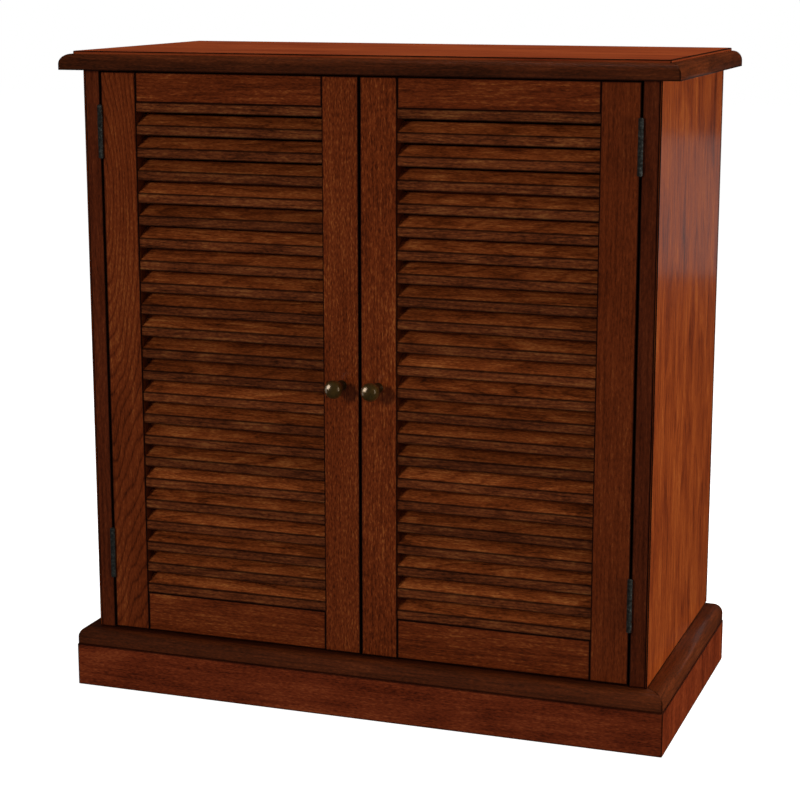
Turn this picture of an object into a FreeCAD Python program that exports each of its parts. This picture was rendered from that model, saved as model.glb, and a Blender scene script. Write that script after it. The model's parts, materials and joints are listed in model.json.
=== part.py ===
import FreeCAD, Part
import math
import os
import re
import Sketcher

# A two-door shoe cabinet in stained hardwood: a plinth and base moulding, a carcass of panels
# with a narrow frame stile down each front corner, a moulded top board, four shelves on pins
# and two louvred doors on butt hinges.
# X runs along the width, Y to the rear, Z up.  The origin is on the floor, at the centre of the
# box that holds the whole cabinet, knobs included.

Vector = FreeCAD.Vector
Rotation = FreeCAD.Rotation

doc = FreeCAD.newDocument("ShoeCabinet")
sizes = doc.addObject("Spreadsheet::Sheet", "Sizes")

# Driving dimensions in millimetres
DRIVING = (
    ("cabinet_height", 857.0, "floor to the upper face of the top board"),
    ("body_width", 762.0, "over both side panels"),
    ("body_depth", 383.0, "front plane to the outer face of the back panel"),
    ("side_overhang", 25.4, "top and plinth beyond a side panel"),
    ("front_overhang", 20.3, "top and plinth beyond the front plane"),
    ("panel_thickness", 18.0, "side panels, bottom, stretchers and plinth boards"),
    ("back_thickness", 6.0, "plywood back panel"),
    ("top_thickness", 24.1, "top board"),
    ("top_easing", 1.2, "rounding of the top board's upper edges"),
    ("top_edge_width", 14.4, "applied moulding round the top board"),
    ("top_edge_height", 20.4, "applied moulding round the top board"),
    ("top_edge_round", 13.0, "quarter round of the top moulding"),
    ("plinth_height", 57.4, "plinth boards"),
    ("base_edge_height", 22.9, "base moulding"),
    ("base_edge_width", 52.0, "base moulding, from its outer edge to under the doors"),
    ("base_edge_round", 12.7, "round-over of the base moulding"),
    ("base_edge_setback", 1.0, "base moulding behind the plinth face"),
    ("skin_thickness", 2.0, "side panel in front of the frame stile's rebate"),
    ("frame_depth", 22.0, "frame stile, front to back"),
    ("hinge_line", 357.0, "hinge pin from the middle of the cabinet"),
    ("hinge_gap", 1.7, "frame stile to door stile"),
    ("door_thickness", 28.0, "door stiles and rails"),
    ("door_gap", 2.0, "door to the base moulding and to the top"),
    ("door_rear_gap", 2.0, "door to the bottom panel and stretcher behind it"),
    ("meeting_half_gap", 1.1, "door edge from the middle of the cabinet"),
    ("meeting_bevel", 3.5, "bevel of the meeting edge at the rear"),
    ("louvre_inner", 50.0, "lock stile's louvre edge from the middle"),
    ("louvre_outer", 307.0, "hinge stile's louvre edge from the middle"),
    ("top_rail_height", 38.4, "front face of the upper door rail"),
    ("rail_recess", 1.0, "rails behind the face of the stiles"),
    ("tenon_length", 20.0, "rail tenons in the stiles"),
    ("tenon_thickness", 9.0, "rail tenons"),
    ("top_tenon_height", 20.0, "tenon of the upper rail"),
    ("low_tenon_height", 32.0, "tenon of the lower rail"),
    ("tenon_margin", 8.0, "tenon from the rail's outer edge"),
    ("slat_pitch", 29.3, "louvre slats"),
    ("slat_count", 23, "louvre slats in a door"),
    ("slat_edge", 12.9, "height of a slat's vertical edge"),
    ("slat_depth", 25.5, "slat, front to back"),
    ("slat_rise", 12.75, "rise of a slat from front to back"),
    ("slat_recess", 1.5, "slat behind the face of the stiles"),
    ("slat_housing", 5.0, "slat end in its stile"),
    ("stretcher_depth", 60.0, "stretchers under the top"),
    ("shelf_thickness", 16.0, "shelves"),
    ("shelf_spacing", 150.0, "shelf to shelf"),
    ("shelf_side_gap", 1.0, "shelf to a side panel"),
    ("shelf_front_gap", 18.0, "front of a shelf behind the bottom panel's front"),
    ("pin_diameter", 5.0, "shelf pins"),
    ("pin_depth", 10.0, "pin holes"),
    ("pin_pitch", 30.0, "rows of pin holes"),
    ("pin_rows", 20, "rows of pin holes"),
    ("pin_front_inset", 88.0, "front column of pin holes from the front plane"),
    ("pin_rear_inset", 50.0, "rear column of pin holes from the back"),
    ("pin_tongue", 10.0, "flat of a shelf pin"),
    ("pin_flat", 2.0, "thickness of a shelf pin's flat"),
    ("dowel_diameter", 8.0, "carcass dowels"),
    ("dowel_length", 32.0, "carcass dowels"),
    ("dowel_in_side", 12.0, "dowel in the side panel"),
    ("block_leg", 45.0, "corner blocks of the plinth"),
    ("block_height", 50.0, "corner blocks of the plinth"),
    ("upper_hinge", 720.0, "lower end of the upper barrels"),
    ("lower_hinge", 153.0, "lower end of the lower barrels"),
    ("barrel_length", 68.0, "hinge barrel"),
    ("barrel_diameter", 6.4, "hinge barrel"),
    ("barrel_bore", 3.2, "hinge knuckles"),
    ("barrel_stand", 3.4, "hinge pin in front of the front plane"),
    ("knuckle_gap", 0.2, "between neighbouring knuckles"),
    ("knuckle_reach", 3.7, "leaf cut back from the pin beside the other leaf's knuckles"),
    ("leaf_thickness", 0.75, "hinge leaf"),
    ("leaf_gap", 0.2, "between two closed leaves"),
    ("leaf_depth", 20.0, "hinge leaf behind the front plane"),
    ("hinge_pin", 3.1, "hinge pin"),
    ("pin_cap", 4.8, "head of a hinge pin"),
    ("cap_height", 1.0, "head of a hinge pin"),
    ("hinge_screw_length", 13.0, "hinge and catch screws"),
    ("hinge_screw_shank", 2.6, "hinge and catch screws"),
    ("hinge_screw_head", 5.0, "hinge and catch screws"),
    ("top_screw_length", 32.0, "screws up into the top board"),
    ("top_screw_shank", 4.0, "screws up into the top board"),
    ("top_screw_head", 8.0, "screws up into the top board"),
    ("nail_length", 20.0, "back panel nails"),
    ("nail_shank", 1.8, "back panel nails"),
    ("nail_head", 4.5, "back panel nails"),
    ("knob_reach", 41.0, "front plane to the front of a knob"),
    ("knob_diameter", 24.0, "ball of a knob"),
    ("knob_neck", 8.5, "neck of a knob"),
    ("knob_foot", 13.5, "foot of a knob"),
    ("knob_foot_height", 3.0, "foot of a knob"),
    ("knob_offset", 24.6, "knob from the middle of the cabinet"),
    ("knob_height", 440.0, "knob above the floor"),
    ("knob_screw_length", 42.0, "screw through the lock stile into the knob"),
    ("knob_screw_shank", 4.0, "screw through the lock stile into the knob"),
    ("knob_screw_head", 9.0, "screw through the lock stile into the knob"),
    ("knob_screw_head_height", 1.6, "screw through the lock stile into the knob"),
    ("catch_offset", 62.0, "middle of a magnetic catch from the middle of the cabinet"),
    ("catch_width", 40.0, "catch housing"),
    ("catch_height", 12.0, "catch housing"),
    ("catch_depth", 16.0, "catch housing"),
    ("catch_tab", 6.0, "thickness of the catch housing's screw flange"),
    ("catch_tab_depth", 14.0, "screw flange behind the catch housing"),
    ("catch_forward", 1.0, "catch housing in front of the stretcher"),
    ("magnet_width", 26.0, "catch magnet"),
    ("magnet_height", 6.0, "catch magnet"),
    ("strike_thickness", 0.8, "strike plate on the door"),
    ("strike_width", 32.0, "strike plate on the door"),
    ("strike_height", 11.0, "strike plate on the door"),
    ("bumper_diameter", 9.0, "door bumper"),
    ("bumper_thickness", 1.7, "door bumper"),
)
for row, (alias, value, note) in enumerate(DRIVING, start=1):
    sizes.set(f"A{row}", note)
    sizes.set(f"B{row}", str(value))
    sizes.setAlias(f"B{row}", alias)
doc.recompute()

# Places worked out from the driving dimensions, as formulas for the sheet
FRONT = "(knob_reach - body_depth) / 2"
REAR = "(knob_reach + body_depth) / 2"
CARCASS_REAR = f"({REAR} - back_thickness)"
BASE = "(plinth_height + base_edge_height)"
UNDER_TOP = "(cabinet_height - top_thickness)"
CARCASS_HEIGHT = f"({UNDER_TOP} - {BASE})"
INSIDE_HALF = "(body_width / 2 - panel_thickness)"
TOP_HALF = "(body_width / 2 + side_overhang)"
TOP_FRONT = f"({FRONT} - front_overhang)"
TOP_DEPTH = "(body_depth + front_overhang - back_thickness)"
DOOR_FOOT = f"({BASE} + door_gap)"
DOOR_HEIGHT = f"({CARCASS_HEIGHT} - 2 * door_gap)"
DOOR_REAR = f"({FRONT} + door_thickness)"
CARCASS_FRONT = f"({DOOR_REAR} + door_rear_gap)"
SHELF_FRONT = f"({CARCASS_FRONT} + shelf_front_gap)"
LOUVRE_WIDTH = "(louvre_outer - louvre_inner)"
DOOR_OUTER = "(hinge_line - hinge_gap / 2)"
FRAME_INNER = "(hinge_line + hinge_gap / 2)"

# The lowest slat's bottom edge sets the lower rail's height
TOP_RAIL_FOOT = f"({DOOR_FOOT} + {DOOR_HEIGHT} - top_rail_height)"
LOW_SLAT_FOOT = f"({TOP_RAIL_FOOT} - slat_pitch * (slat_count - 1) - slat_edge)"

# Turns for fasteners, which are modelled pointing down with their heads up
HEAD_UP = Rotation()
HEAD_DOWN = Rotation(Vector(1, 0, 0), 180)
HEAD_TO_FRONT = Rotation(Vector(1, 0, 0), 90)
HEAD_TO_REAR = Rotation(Vector(1, 0, 0), -90)
HEAD_TO_RIGHT = Rotation(Vector(0, 1, 0), 90)
HEAD_TO_LEFT = Rotation(Vector(0, 1, 0), -90)

pieces = {}


def tie(thing, prop, formula):
    """Bind a property to a formula, whose words with an underscore are aliases of the sheet."""
    thing.setExpression(prop, re.sub(r"[a-z]+(?:_[a-z]+)+", r"Sizes.\g<0>", formula))


def place(thing, at, turn=None):
    """Put a thing at three formulas, turned if need be."""
    if turn is not None:
        thing.Placement = FreeCAD.Placement(Vector(), turn)
    for axis, formula in zip("xyz", at):
        tie(thing, f"Placement.Base.{axis}", formula)


def finish(label, thing):
    """Name a finished sub-part."""
    thing.Label = label
    pieces[label] = thing
    return thing


# ---------------------------------------------------------------- sketches and features

def new_sketch(body, role, name, lift="0"):
    """Empty sketch on one of a body's own origin planes, moved along the plane's normal."""
    sketch = body.newObject("Sketcher::SketchObject", f"{body.Name}_{name}")
    plane = next(item for item in body.Origin.OriginFeatures if item.Role == role)
    sketch.AttachmentSupport = [(plane, "")]
    sketch.MapMode = "FlatFace"
    if lift != "0":
        tie(sketch, "AttachmentOffset.Base.z", lift)
    return sketch


def pin_down(sketch, geometry, vertex, across, along):
    """Hold a point at two formulas from the sketch's origin; a leading minus covers all of one."""
    for kind, axis, formula in (("DistanceX", -2, across), ("DistanceY", -1, along)):
        if formula == "0":
            sketch.addConstraint(Sketcher.Constraint("PointOnObject", geometry, vertex, axis))
            continue
        ends = (-1, 1, geometry, vertex)
        if formula.startswith("-"):
            ends = (geometry, vertex, -1, 1)
        index = sketch.addConstraint(Sketcher.Constraint(kind, *ends, 10.0))
        tie(sketch, f"Constraints[{index}]", formula.lstrip("-"))


def outline(sketch, corners):
    """Closed outline of straight lines through corners given as pairs of formulas."""
    first = sketch.GeometryCount
    count = len(corners)
    turns = [2 * math.pi * index / count for index in range(count)]
    rough = [Vector(20 + 10 * math.cos(turn), 20 + 10 * math.sin(turn), 0) for turn in turns]
    for index in range(count):
        sketch.addGeometry(Part.LineSegment(rough[index], rough[(index + 1) % count]), False)
    for index in range(count):
        following = first + (index + 1) % count
        sketch.addConstraint(Sketcher.Constraint("Coincident", first + index, 2, following, 1))
    for index, (across, along) in enumerate(corners):
        pin_down(sketch, first + index, 1, across, along)


def rectangle(sketch, left, low, right, high):
    """Closed rectangle between two corners."""
    outline(sketch, ((left, low), (right, low), (right, high), (left, high)))


def circle(sketch, across, along, diameter):
    """Circle about a point given by two formulas."""
    index = sketch.addGeometry(Part.Circle(Vector(10, 10, 0), Vector(0, 0, 1), 2), False)
    size = sketch.addConstraint(Sketcher.Constraint("Diameter", index, 4))
    tie(sketch, f"Constraints[{size}]", diameter)
    pin_down(sketch, index, 3, across, along)


def pad(body, sketch, length, backwards=False):
    """Raise a sketch along its plane's normal."""
    feature = body.newObject("PartDesign::Pad", f"{sketch.Name}_pad")
    feature.Profile = sketch
    feature.Reversed = backwards
    tie(feature, "Length", length)
    return feature


def pocket(body, sketch, length, backwards=False):
    """Cut a sketch into the body against its plane's normal, or along it when backwards."""
    feature = body.newObject("PartDesign::Pocket", f"{sketch.Name}_pocket")
    feature.Profile = sketch
    feature.Reversed = backwards
    tie(feature, "Length", length)
    return feature


def repeat(body, feature, spacing, count):
    """Repeat a feature up the body's Z axis."""
    pattern = body.newObject("PartDesign::LinearPattern", f"{feature.Name}_pattern")
    axis = next(item for item in body.Origin.OriginFeatures if item.Role == "Z_Axis")
    pattern.Originals = [feature]
    pattern.Direction = (axis, [""])
    tie(pattern, "Length", f"{spacing} * ({count} - 1)")
    tie(pattern, "Occurrences", count)
    body.Tip = pattern
    return pattern


def round_edges(body, feature, radius, wanted):
    """Round the edges whose every vertex passes a test of its place in the body."""
    doc.recompute()
    names = []
    for index, edge in enumerate(feature.Shape.Edges, start=1):
        if all(wanted(vertex.Point) for vertex in edge.Vertexes):
            names.append(f"Edge{index}")
    fillet = body.newObject("PartDesign::Fillet", f"{feature.Name}_round")
    fillet.Base = (feature, names)
    tie(fillet, "Radius", radius)
    return fillet


def board(label, at, size):
    """Rectangular board with its lower front left corner at a place; returns the body."""
    body = doc.addObject("PartDesign::Body", label)
    sketch = new_sketch(body, "XY_Plane", "plan")
    rectangle(sketch, "0", "0", size[0], size[1])
    pad(body, sketch, size[2])
    place(body, at)
    return finish(label, body)


def block(name, at, size):
    """Plain box of three formulas."""
    box = doc.addObject("Part::Box", name)
    for prop, formula in zip(("Length", "Width", "Height"), size):
        tie(box, prop, formula)
    place(box, at)
    return box


def copies(name, master, places):
    """Compound of copies of a master, one for each (place, turn)."""
    links = []
    for index, (at, turn) in enumerate(places):
        link = doc.addObject("App::Link", f"{name}_{index + 1}")
        link.LinkedObject = master
        place(link, at, turn)
        links.append(link)
    group = doc.addObject("Part::Compound", name)
    group.Links = links
    return finish(name, group)


def drill(label, *fillings):
    """Cut the room that pins, screws or dowels fill out of a finished piece."""
    for filling in fillings:
        blank = pieces[label]
        blank.Label = f"{label}_blank"
        hole = doc.addObject("Part::Cut", f"{label}_drilled")
        hole.Base = blank
        hole.Tool = filling
        finish(label, hole)


def across(side, near, far):
    """Left end of a span that runs from near to far of the middle, on the left or the right."""
    return f"-({far})" if side == "left" else near


SIDES = ("left", "right")

# ---------------------------------------------------------------- plinth and base moulding

def mitred_frame(prefix, inset, foot, width, height, radius):
    """Front, left and right piece of a frame, mitred at the front corners, cut square at the rear."""
    length = f"({TOP_DEPTH} - {inset})"
    names = [f"{prefix}_{position}" for position in ("front", "left", "right")]
    full = f"(2 * ({TOP_HALF} - {inset}))"
    front_y = f"{TOP_FRONT} + {inset}"

    front = board(names[0], (f"-({TOP_HALF} - {inset})", front_y, foot), (full, width, height))
    left = board(names[1], (f"-({TOP_HALF} - {inset})", front_y, foot), (width, length, height))
    right = board(names[2], (f"{TOP_HALF} - {inset} - {width}", front_y, foot), (width, length, height))
    doc.recompute()

    if radius:
        top = front.Tip.Shape.BoundBox.ZMax
        side = left.Tip.Shape.BoundBox.XMax
        round_edges(front, front.Tip, radius, lambda p: p.z > top - 0.01 and p.y < 0.01)
        round_edges(left, left.Tip, radius, lambda p: p.z > top - 0.01 and p.x < 0.01)
        round_edges(right, right.Tip, radius, lambda p: p.z > top - 0.01 and p.x > side - 0.01)

    cut = new_sketch(front, "XY_Plane", "mitres")
    outline(cut, (("0", "0"), (width, width), ("0", width)))
    outline(cut, ((full, "0"), (full, width), (f"{full} - {width}", width)))
    pocket(front, cut, height, backwards=True)
    cut = new_sketch(left, "XY_Plane", "mitre")
    outline(cut, (("0", "0"), (width, "0"), (width, width)))
    pocket(left, cut, height, backwards=True)
    cut = new_sketch(right, "XY_Plane", "mitre")
    outline(cut, ((width, "0"), ("0", width), ("0", "0")))
    pocket(right, cut, height, backwards=True)


mitred_frame("plinth", "0", "0", "panel_thickness", "plinth_height", None)
board("plinth_rear",
      (f"-({TOP_HALF} - panel_thickness)", f"{CARCASS_REAR} - panel_thickness", "0"),
      (f"2 * ({TOP_HALF} - panel_thickness)", "panel_thickness", "plinth_height"))

mitred_frame("base_moulding", "base_edge_setback", "plinth_height", "base_edge_width",
             "base_edge_height", "base_edge_round")
BASE_INSIDE = f"({TOP_HALF} - base_edge_setback - base_edge_width)"
board("base_rail_rear",
      (f"-{BASE_INSIDE}", f"{CARCASS_REAR} - base_edge_width", "plinth_height"),
      (f"2 * {BASE_INSIDE}", "base_edge_width", "base_edge_height"))

corner_block = doc.addObject("PartDesign::Body", "corner_block")
corner = new_sketch(corner_block, "XY_Plane", "plan")
outline(corner, (("0", "0"), ("block_leg", "0"), ("0", "block_leg")))
pad(corner_block, corner, "block_height")
BLOCK_X = f"({TOP_HALF} - panel_thickness)"
BLOCK_FRONT = f"{TOP_FRONT} + panel_thickness"
BLOCK_REAR = f"{CARCASS_REAR} - panel_thickness"
BLOCK_FOOT = "plinth_height - block_height"
copies("corner_blocks", corner_block, (
    ((f"-{BLOCK_X}", BLOCK_FRONT, BLOCK_FOOT), Rotation(Vector(0, 0, 1), 0)),
    ((BLOCK_X, BLOCK_FRONT, BLOCK_FOOT), Rotation(Vector(0, 0, 1), 90)),
    ((BLOCK_X, BLOCK_REAR, BLOCK_FOOT), Rotation(Vector(0, 0, 1), 180)),
    ((f"-{BLOCK_X}", BLOCK_REAR, BLOCK_FOOT), Rotation(Vector(0, 0, 1), 270)),
))

# ---------------------------------------------------------------- carcass

PIN_FRONT = "pin_front_inset"
PIN_REAR = "(body_depth - pin_rear_inset)"
FIRST_PIN = ("(panel_thickness + shelf_spacing - shelf_thickness - pin_diameter / 2"
             " - 2 * pin_pitch)")

for side in SIDES:
    left_end = across(side, "body_width / 2 - panel_thickness", "body_width / 2")
    panel = board(f"side_panel_{side}", (left_end, FRONT, BASE),
                  ("panel_thickness", "body_depth - back_thickness", CARCASS_HEIGHT))
    rebate = new_sketch(panel, "XY_Plane", "rebate")
    if side == "left":
        rectangle(rebate, "skin_thickness", "0", "panel_thickness", "frame_depth")
    else:
        rectangle(rebate, "0", "0", "panel_thickness - skin_thickness", "frame_depth")
    pocket(panel, rebate, CARCASS_HEIGHT, backwards=True)
    lift = "panel_thickness" if side == "left" else "0"
    holes = new_sketch(panel, "YZ_Plane", "pin_holes", lift)
    circle(holes, PIN_FRONT, FIRST_PIN, "pin_diameter")
    circle(holes, PIN_REAR, FIRST_PIN, "pin_diameter")
    bored = pocket(panel, holes, "pin_depth", backwards=side == "right")
    repeat(panel, bored, "pin_pitch", "pin_rows")

    near = FRAME_INNER
    far = "body_width / 2 - skin_thickness"
    board(f"front_stile_{side}", (across(side, near, far), FRONT, BASE),
          (f"{far} - {near}", "frame_depth", CARCASS_HEIGHT))

INSIDE_WIDTH = f"(2 * {INSIDE_HALF})"
board("bottom_panel", (f"-{INSIDE_HALF}", CARCASS_FRONT, BASE),
      (INSIDE_WIDTH, f"{CARCASS_REAR} - {CARCASS_FRONT}", "panel_thickness"))
board("stretcher_front", (f"-{INSIDE_HALF}", CARCASS_FRONT, f"{UNDER_TOP} - panel_thickness"),
      (INSIDE_WIDTH, "stretcher_depth", "panel_thickness"))
board("stretcher_rear",
      (f"-{INSIDE_HALF}", f"{CARCASS_REAR} - stretcher_depth", f"{UNDER_TOP} - panel_thickness"),
      (INSIDE_WIDTH, "stretcher_depth", "panel_thickness"))
board("back_panel", ("-body_width / 2", CARCASS_REAR, BASE),
      ("body_width", "back_thickness", CARCASS_HEIGHT))

SHELF_COUNT = 4
pin_places = []
for number in range(1, SHELF_COUNT + 1):
    underside = f"{BASE} + panel_thickness + shelf_spacing * {number} - shelf_thickness"
    board(f"shelf_{number}", (f"-({INSIDE_HALF} - shelf_side_gap)", SHELF_FRONT, underside),
          (f"2 * ({INSIDE_HALF} - shelf_side_gap)",
           f"{CARCASS_REAR} - shelf_side_gap - {SHELF_FRONT}", "shelf_thickness"))
    for y in (PIN_FRONT, PIN_REAR):
        height = f"{underside} - pin_diameter / 2"
        left_turn = Rotation(Vector(0, -1, 0), Vector(0, 0, 1), Vector(-1, 0, 0), "ZYX")
        right_turn = Rotation(Vector(0, 1, 0), Vector(0, 0, 1), Vector(1, 0, 0), "ZYX")
        pin_places.append(((f"-{INSIDE_HALF}", f"{FRONT} + {y}", height), left_turn))
        pin_places.append(((INSIDE_HALF, f"{FRONT} + {y}", height), right_turn))

shelf_pin = doc.addObject("PartDesign::Body", "shelf_pin")
shank = new_sketch(shelf_pin, "XY_Plane", "shank")
circle(shank, "0", "0", "pin_diameter")
pad(shelf_pin, shank, "pin_depth")
tongue = new_sketch(shelf_pin, "XY_Plane", "tongue")
rectangle(tongue, "-pin_tongue / 2", "pin_diameter / 2 - pin_flat",
          "pin_tongue / 2", "pin_diameter / 2")
pad(shelf_pin, tongue, "pin_tongue", backwards=True)
copies("shelf_pins", shelf_pin, pin_places)

dowel = doc.addObject("Part::Cylinder", "dowel")
tie(dowel, "Radius", "dowel_diameter / 2")
tie(dowel, "Height", "dowel_length")
dowel_rows = []
for share in (0.15, 0.5, 0.85):
    dowel_rows.append((f"{CARCASS_FRONT} + {share} * ({CARCASS_REAR} - {CARCASS_FRONT})",
                       f"{BASE} + panel_thickness / 2"))
for share in (0.25, 0.75):
    height = f"{UNDER_TOP} - panel_thickness / 2"
    dowel_rows.append((f"{CARCASS_FRONT} + {share} * stretcher_depth", height))
    dowel_rows.append((f"{CARCASS_REAR} - {share} * stretcher_depth", height))
dowel_places = []
for y, z in dowel_rows:
    dowel_places.append(((f"-({INSIDE_HALF} + dowel_in_side)", y, z), HEAD_TO_RIGHT))
    dowel_places.append(((f"{INSIDE_HALF} + dowel_in_side", y, z), HEAD_TO_LEFT))
dowels = copies("carcass_dowels", dowel, dowel_places)
for label in ("side_panel_left", "side_panel_right", "bottom_panel", "stretcher_front",
              "stretcher_rear"):
    drill(label, dowels)

# ---------------------------------------------------------------- top

board("top_panel",
      (f"-({TOP_HALF} - top_edge_width)", f"{TOP_FRONT} + top_edge_width", UNDER_TOP),
      (f"2 * ({TOP_HALF} - top_edge_width)", f"{TOP_DEPTH} - top_edge_width", "top_thickness"))
top_board = pieces["top_panel"]
doc.recompute()
top_face = top_board.Tip.Shape.BoundBox.ZMax
round_edges(top_board, top_board.Tip, "top_easing", lambda p: p.z > top_face - 0.01)
mitred_frame("top_moulding", "0", UNDER_TOP, "top_edge_width", "top_edge_height",
             "top_edge_round")

# ---------------------------------------------------------------- fasteners

def countersunk(name, length, shank_size, head_size, head_height):
    """Countersunk screw or nail that stands on its point."""
    body = doc.addObject("PartDesign::Body", name)
    profile = new_sketch(body, "XZ_Plane", "profile")
    outline(profile, (
        ("0", "0"),
        (f"{shank_size} / 2", f"{shank_size}"),
        (f"{shank_size} / 2", f"{length} - {head_height}"),
        (f"{head_size} / 2", length),
        ("0", length),
    ))
    turned = body.newObject("PartDesign::Revolution", f"{name}_turned")
    turned.Profile = profile
    turned.ReferenceAxis = (profile, ["V_Axis"])
    return body


hinge_screw = countersunk("hinge_screw", "hinge_screw_length", "hinge_screw_shank",
                          "hinge_screw_head", "leaf_thickness")
top_screw = countersunk("top_screw", "top_screw_length", "top_screw_shank", "top_screw_head",
                        "top_screw_shank / 2")
nail = countersunk("nail", "nail_length", "nail_shank", "nail_head", "nail_shank")

top_screw_places = []
for share in (-0.8, 0, 0.8):
    for y in (f"{CARCASS_FRONT} + stretcher_depth / 2", f"{CARCASS_REAR} - stretcher_depth / 2"):
        spot = (f"{share} * {INSIDE_HALF}", y, f"{UNDER_TOP} - panel_thickness + top_screw_length")
        top_screw_places.append((spot, HEAD_DOWN))
top_screws = copies("top_screws", top_screw, top_screw_places)
for label in ("stretcher_front", "stretcher_rear", "top_panel"):
    drill(label, top_screws)

nail_spots = []
for share in (0.05, 0.23, 0.41, 0.59, 0.77, 0.95):
    height = f"{BASE} + {share} * {CARCASS_HEIGHT}"
    nail_spots.append(("-(body_width / 2 - panel_thickness / 2)", height))
    nail_spots.append(("body_width / 2 - panel_thickness / 2", height))
for share in (-0.65, -0.22, 0.22, 0.65):
    nail_spots.append((f"{share} * {INSIDE_HALF}", f"{BASE} + panel_thickness / 2"))
    nail_spots.append((f"{share} * {INSIDE_HALF}", f"{UNDER_TOP} - panel_thickness / 2"))
nails = copies("back_panel_nails", nail,
               [((x, f"{REAR} - nail_length", z), HEAD_TO_REAR) for x, z in nail_spots])
for label in ("back_panel", "side_panel_left", "side_panel_right", "bottom_panel",
              "stretcher_rear"):
    drill(label, nails)

# ---------------------------------------------------------------- louvred doors

TENON_FRONT = "(door_thickness - tenon_thickness) / 2"
TOP_TENON_FOOT = f"({DOOR_HEIGHT} - tenon_margin - top_tenon_height)"
SLAT_FOOT_IN_DOOR = f"({LOW_SLAT_FOOT} - {DOOR_FOOT})"


def slat_outline(sketch, y, z):
    """Section of a slat: upright front and rear edges, top and underside sloping up to the rear."""
    outline(sketch, (
        (y, z),
        (y, f"{z} + slat_edge"),
        (f"{y} + slat_depth", f"{z} + slat_edge + slat_rise"),
        (f"{y} + slat_depth", f"{z} + slat_rise"),
    ))


def door_stile(label, side, near, far, louvre_face_high):
    """Door stile with the mortises and slat housings cut into its louvre edge."""
    stile = board(label, (across(side, near, far), FRONT, DOOR_FOOT),
                  (f"{far} - {near}", "door_thickness", DOOR_HEIGHT))
    lift = f"{far} - {near}" if louvre_face_high else "0"
    mortises = new_sketch(stile, "YZ_Plane", "mortises", lift)
    for foot, height in ((TOP_TENON_FOOT, "top_tenon_height"), ("tenon_margin", "low_tenon_height")):
        rectangle(mortises, TENON_FRONT, foot, f"{TENON_FRONT} + tenon_thickness",
                  f"{foot} + {height}")
    pocket(stile, mortises, "tenon_length", backwards=not louvre_face_high)
    housing = new_sketch(stile, "YZ_Plane", "slat_housing", lift)
    slat_outline(housing, "slat_recess", SLAT_FOOT_IN_DOOR)
    housed = pocket(stile, housing, "slat_housing", backwards=not louvre_face_high)
    repeat(stile, housed, "slat_pitch", "slat_count")
    return stile


def door_rail(label, side, foot, section, tenon_foot, tenon_height):
    """Door rail between the stiles, with a tenon on each end."""
    rail = doc.addObject("PartDesign::Body", label)
    tenon = new_sketch(rail, "YZ_Plane", "tenon")
    rectangle(tenon, TENON_FRONT, tenon_foot, f"{TENON_FRONT} + tenon_thickness",
              f"{tenon_foot} + {tenon_height}")
    pad(rail, tenon, f"{LOUVRE_WIDTH} + 2 * tenon_length")
    face = new_sketch(rail, "YZ_Plane", "section", "tenon_length")
    outline(face, section)
    pad(rail, face, LOUVRE_WIDTH)
    left_end = across(side, "louvre_inner - tenon_length", "louvre_outer + tenon_length")
    place(rail, (left_end, FRONT, foot))
    return finish(label, rail)


for side in SIDES:
    door_stile(f"{side}_door_hinge_stile", side, "louvre_outer", DOOR_OUTER, side == "left")
    lock = door_stile(f"{side}_door_lock_stile", side, "meeting_half_gap", "louvre_inner",
                      side == "right")
    bevel = new_sketch(lock, "XY_Plane", "bevel")
    width = "(louvre_inner - meeting_half_gap)"
    if side == "left":
        outline(bevel, ((width, "door_thickness - meeting_bevel"), (width, "door_thickness"),
                        (f"{width} - meeting_bevel", "door_thickness")))
    else:
        outline(bevel, (("0", "door_thickness - meeting_bevel"), ("0", "door_thickness"),
                        ("meeting_bevel", "door_thickness")))
    pocket(lock, bevel, DOOR_HEIGHT, backwards=True)

    slope = "(slat_rise / slat_depth)"
    door_rail(f"{side}_door_top_rail", side, TOP_RAIL_FOOT, (
        ("rail_recess", "0"),
        ("rail_recess", "top_rail_height"),
        ("door_thickness", "top_rail_height"),
        ("door_thickness", f"{slope} * (door_thickness - slat_recess)"),
        ("slat_recess", "0"),
    ), "top_rail_height - tenon_margin - top_tenon_height", "top_tenon_height")
    door_rail(f"{side}_door_bottom_rail", side, DOOR_FOOT, (
        ("rail_recess", "0"),
        ("rail_recess", SLAT_FOOT_IN_DOOR),
        ("door_thickness", SLAT_FOOT_IN_DOOR),
        ("door_thickness", "0"),
    ), "tenon_margin", "low_tenon_height")

    slats = doc.addObject("PartDesign::Body", f"{side}_door_slats")
    slats.AllowCompound = True
    section = new_sketch(slats, "YZ_Plane", "section")
    slat_outline(section, "slat_recess", SLAT_FOOT_IN_DOOR)
    slat = pad(slats, section, f"{LOUVRE_WIDTH} + 2 * slat_housing")
    repeat(slats, slat, "slat_pitch", "slat_count")
    left_end = across(side, "louvre_inner - slat_housing", "louvre_outer + slat_housing")
    place(slats, (left_end, FRONT, DOOR_FOOT))
    finish(f"{side}_door_slats", slats)

# ---------------------------------------------------------------- butt hinges

KNUCKLES = 5
KNUCKLE = "(barrel_length / 5)"
LEAF_INNER = "(leaf_gap / 2)"
LEAF_OUTER = "(leaf_gap / 2 + leaf_thickness)"
LEAF_REACH = "(barrel_stand + leaf_depth)"


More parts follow.
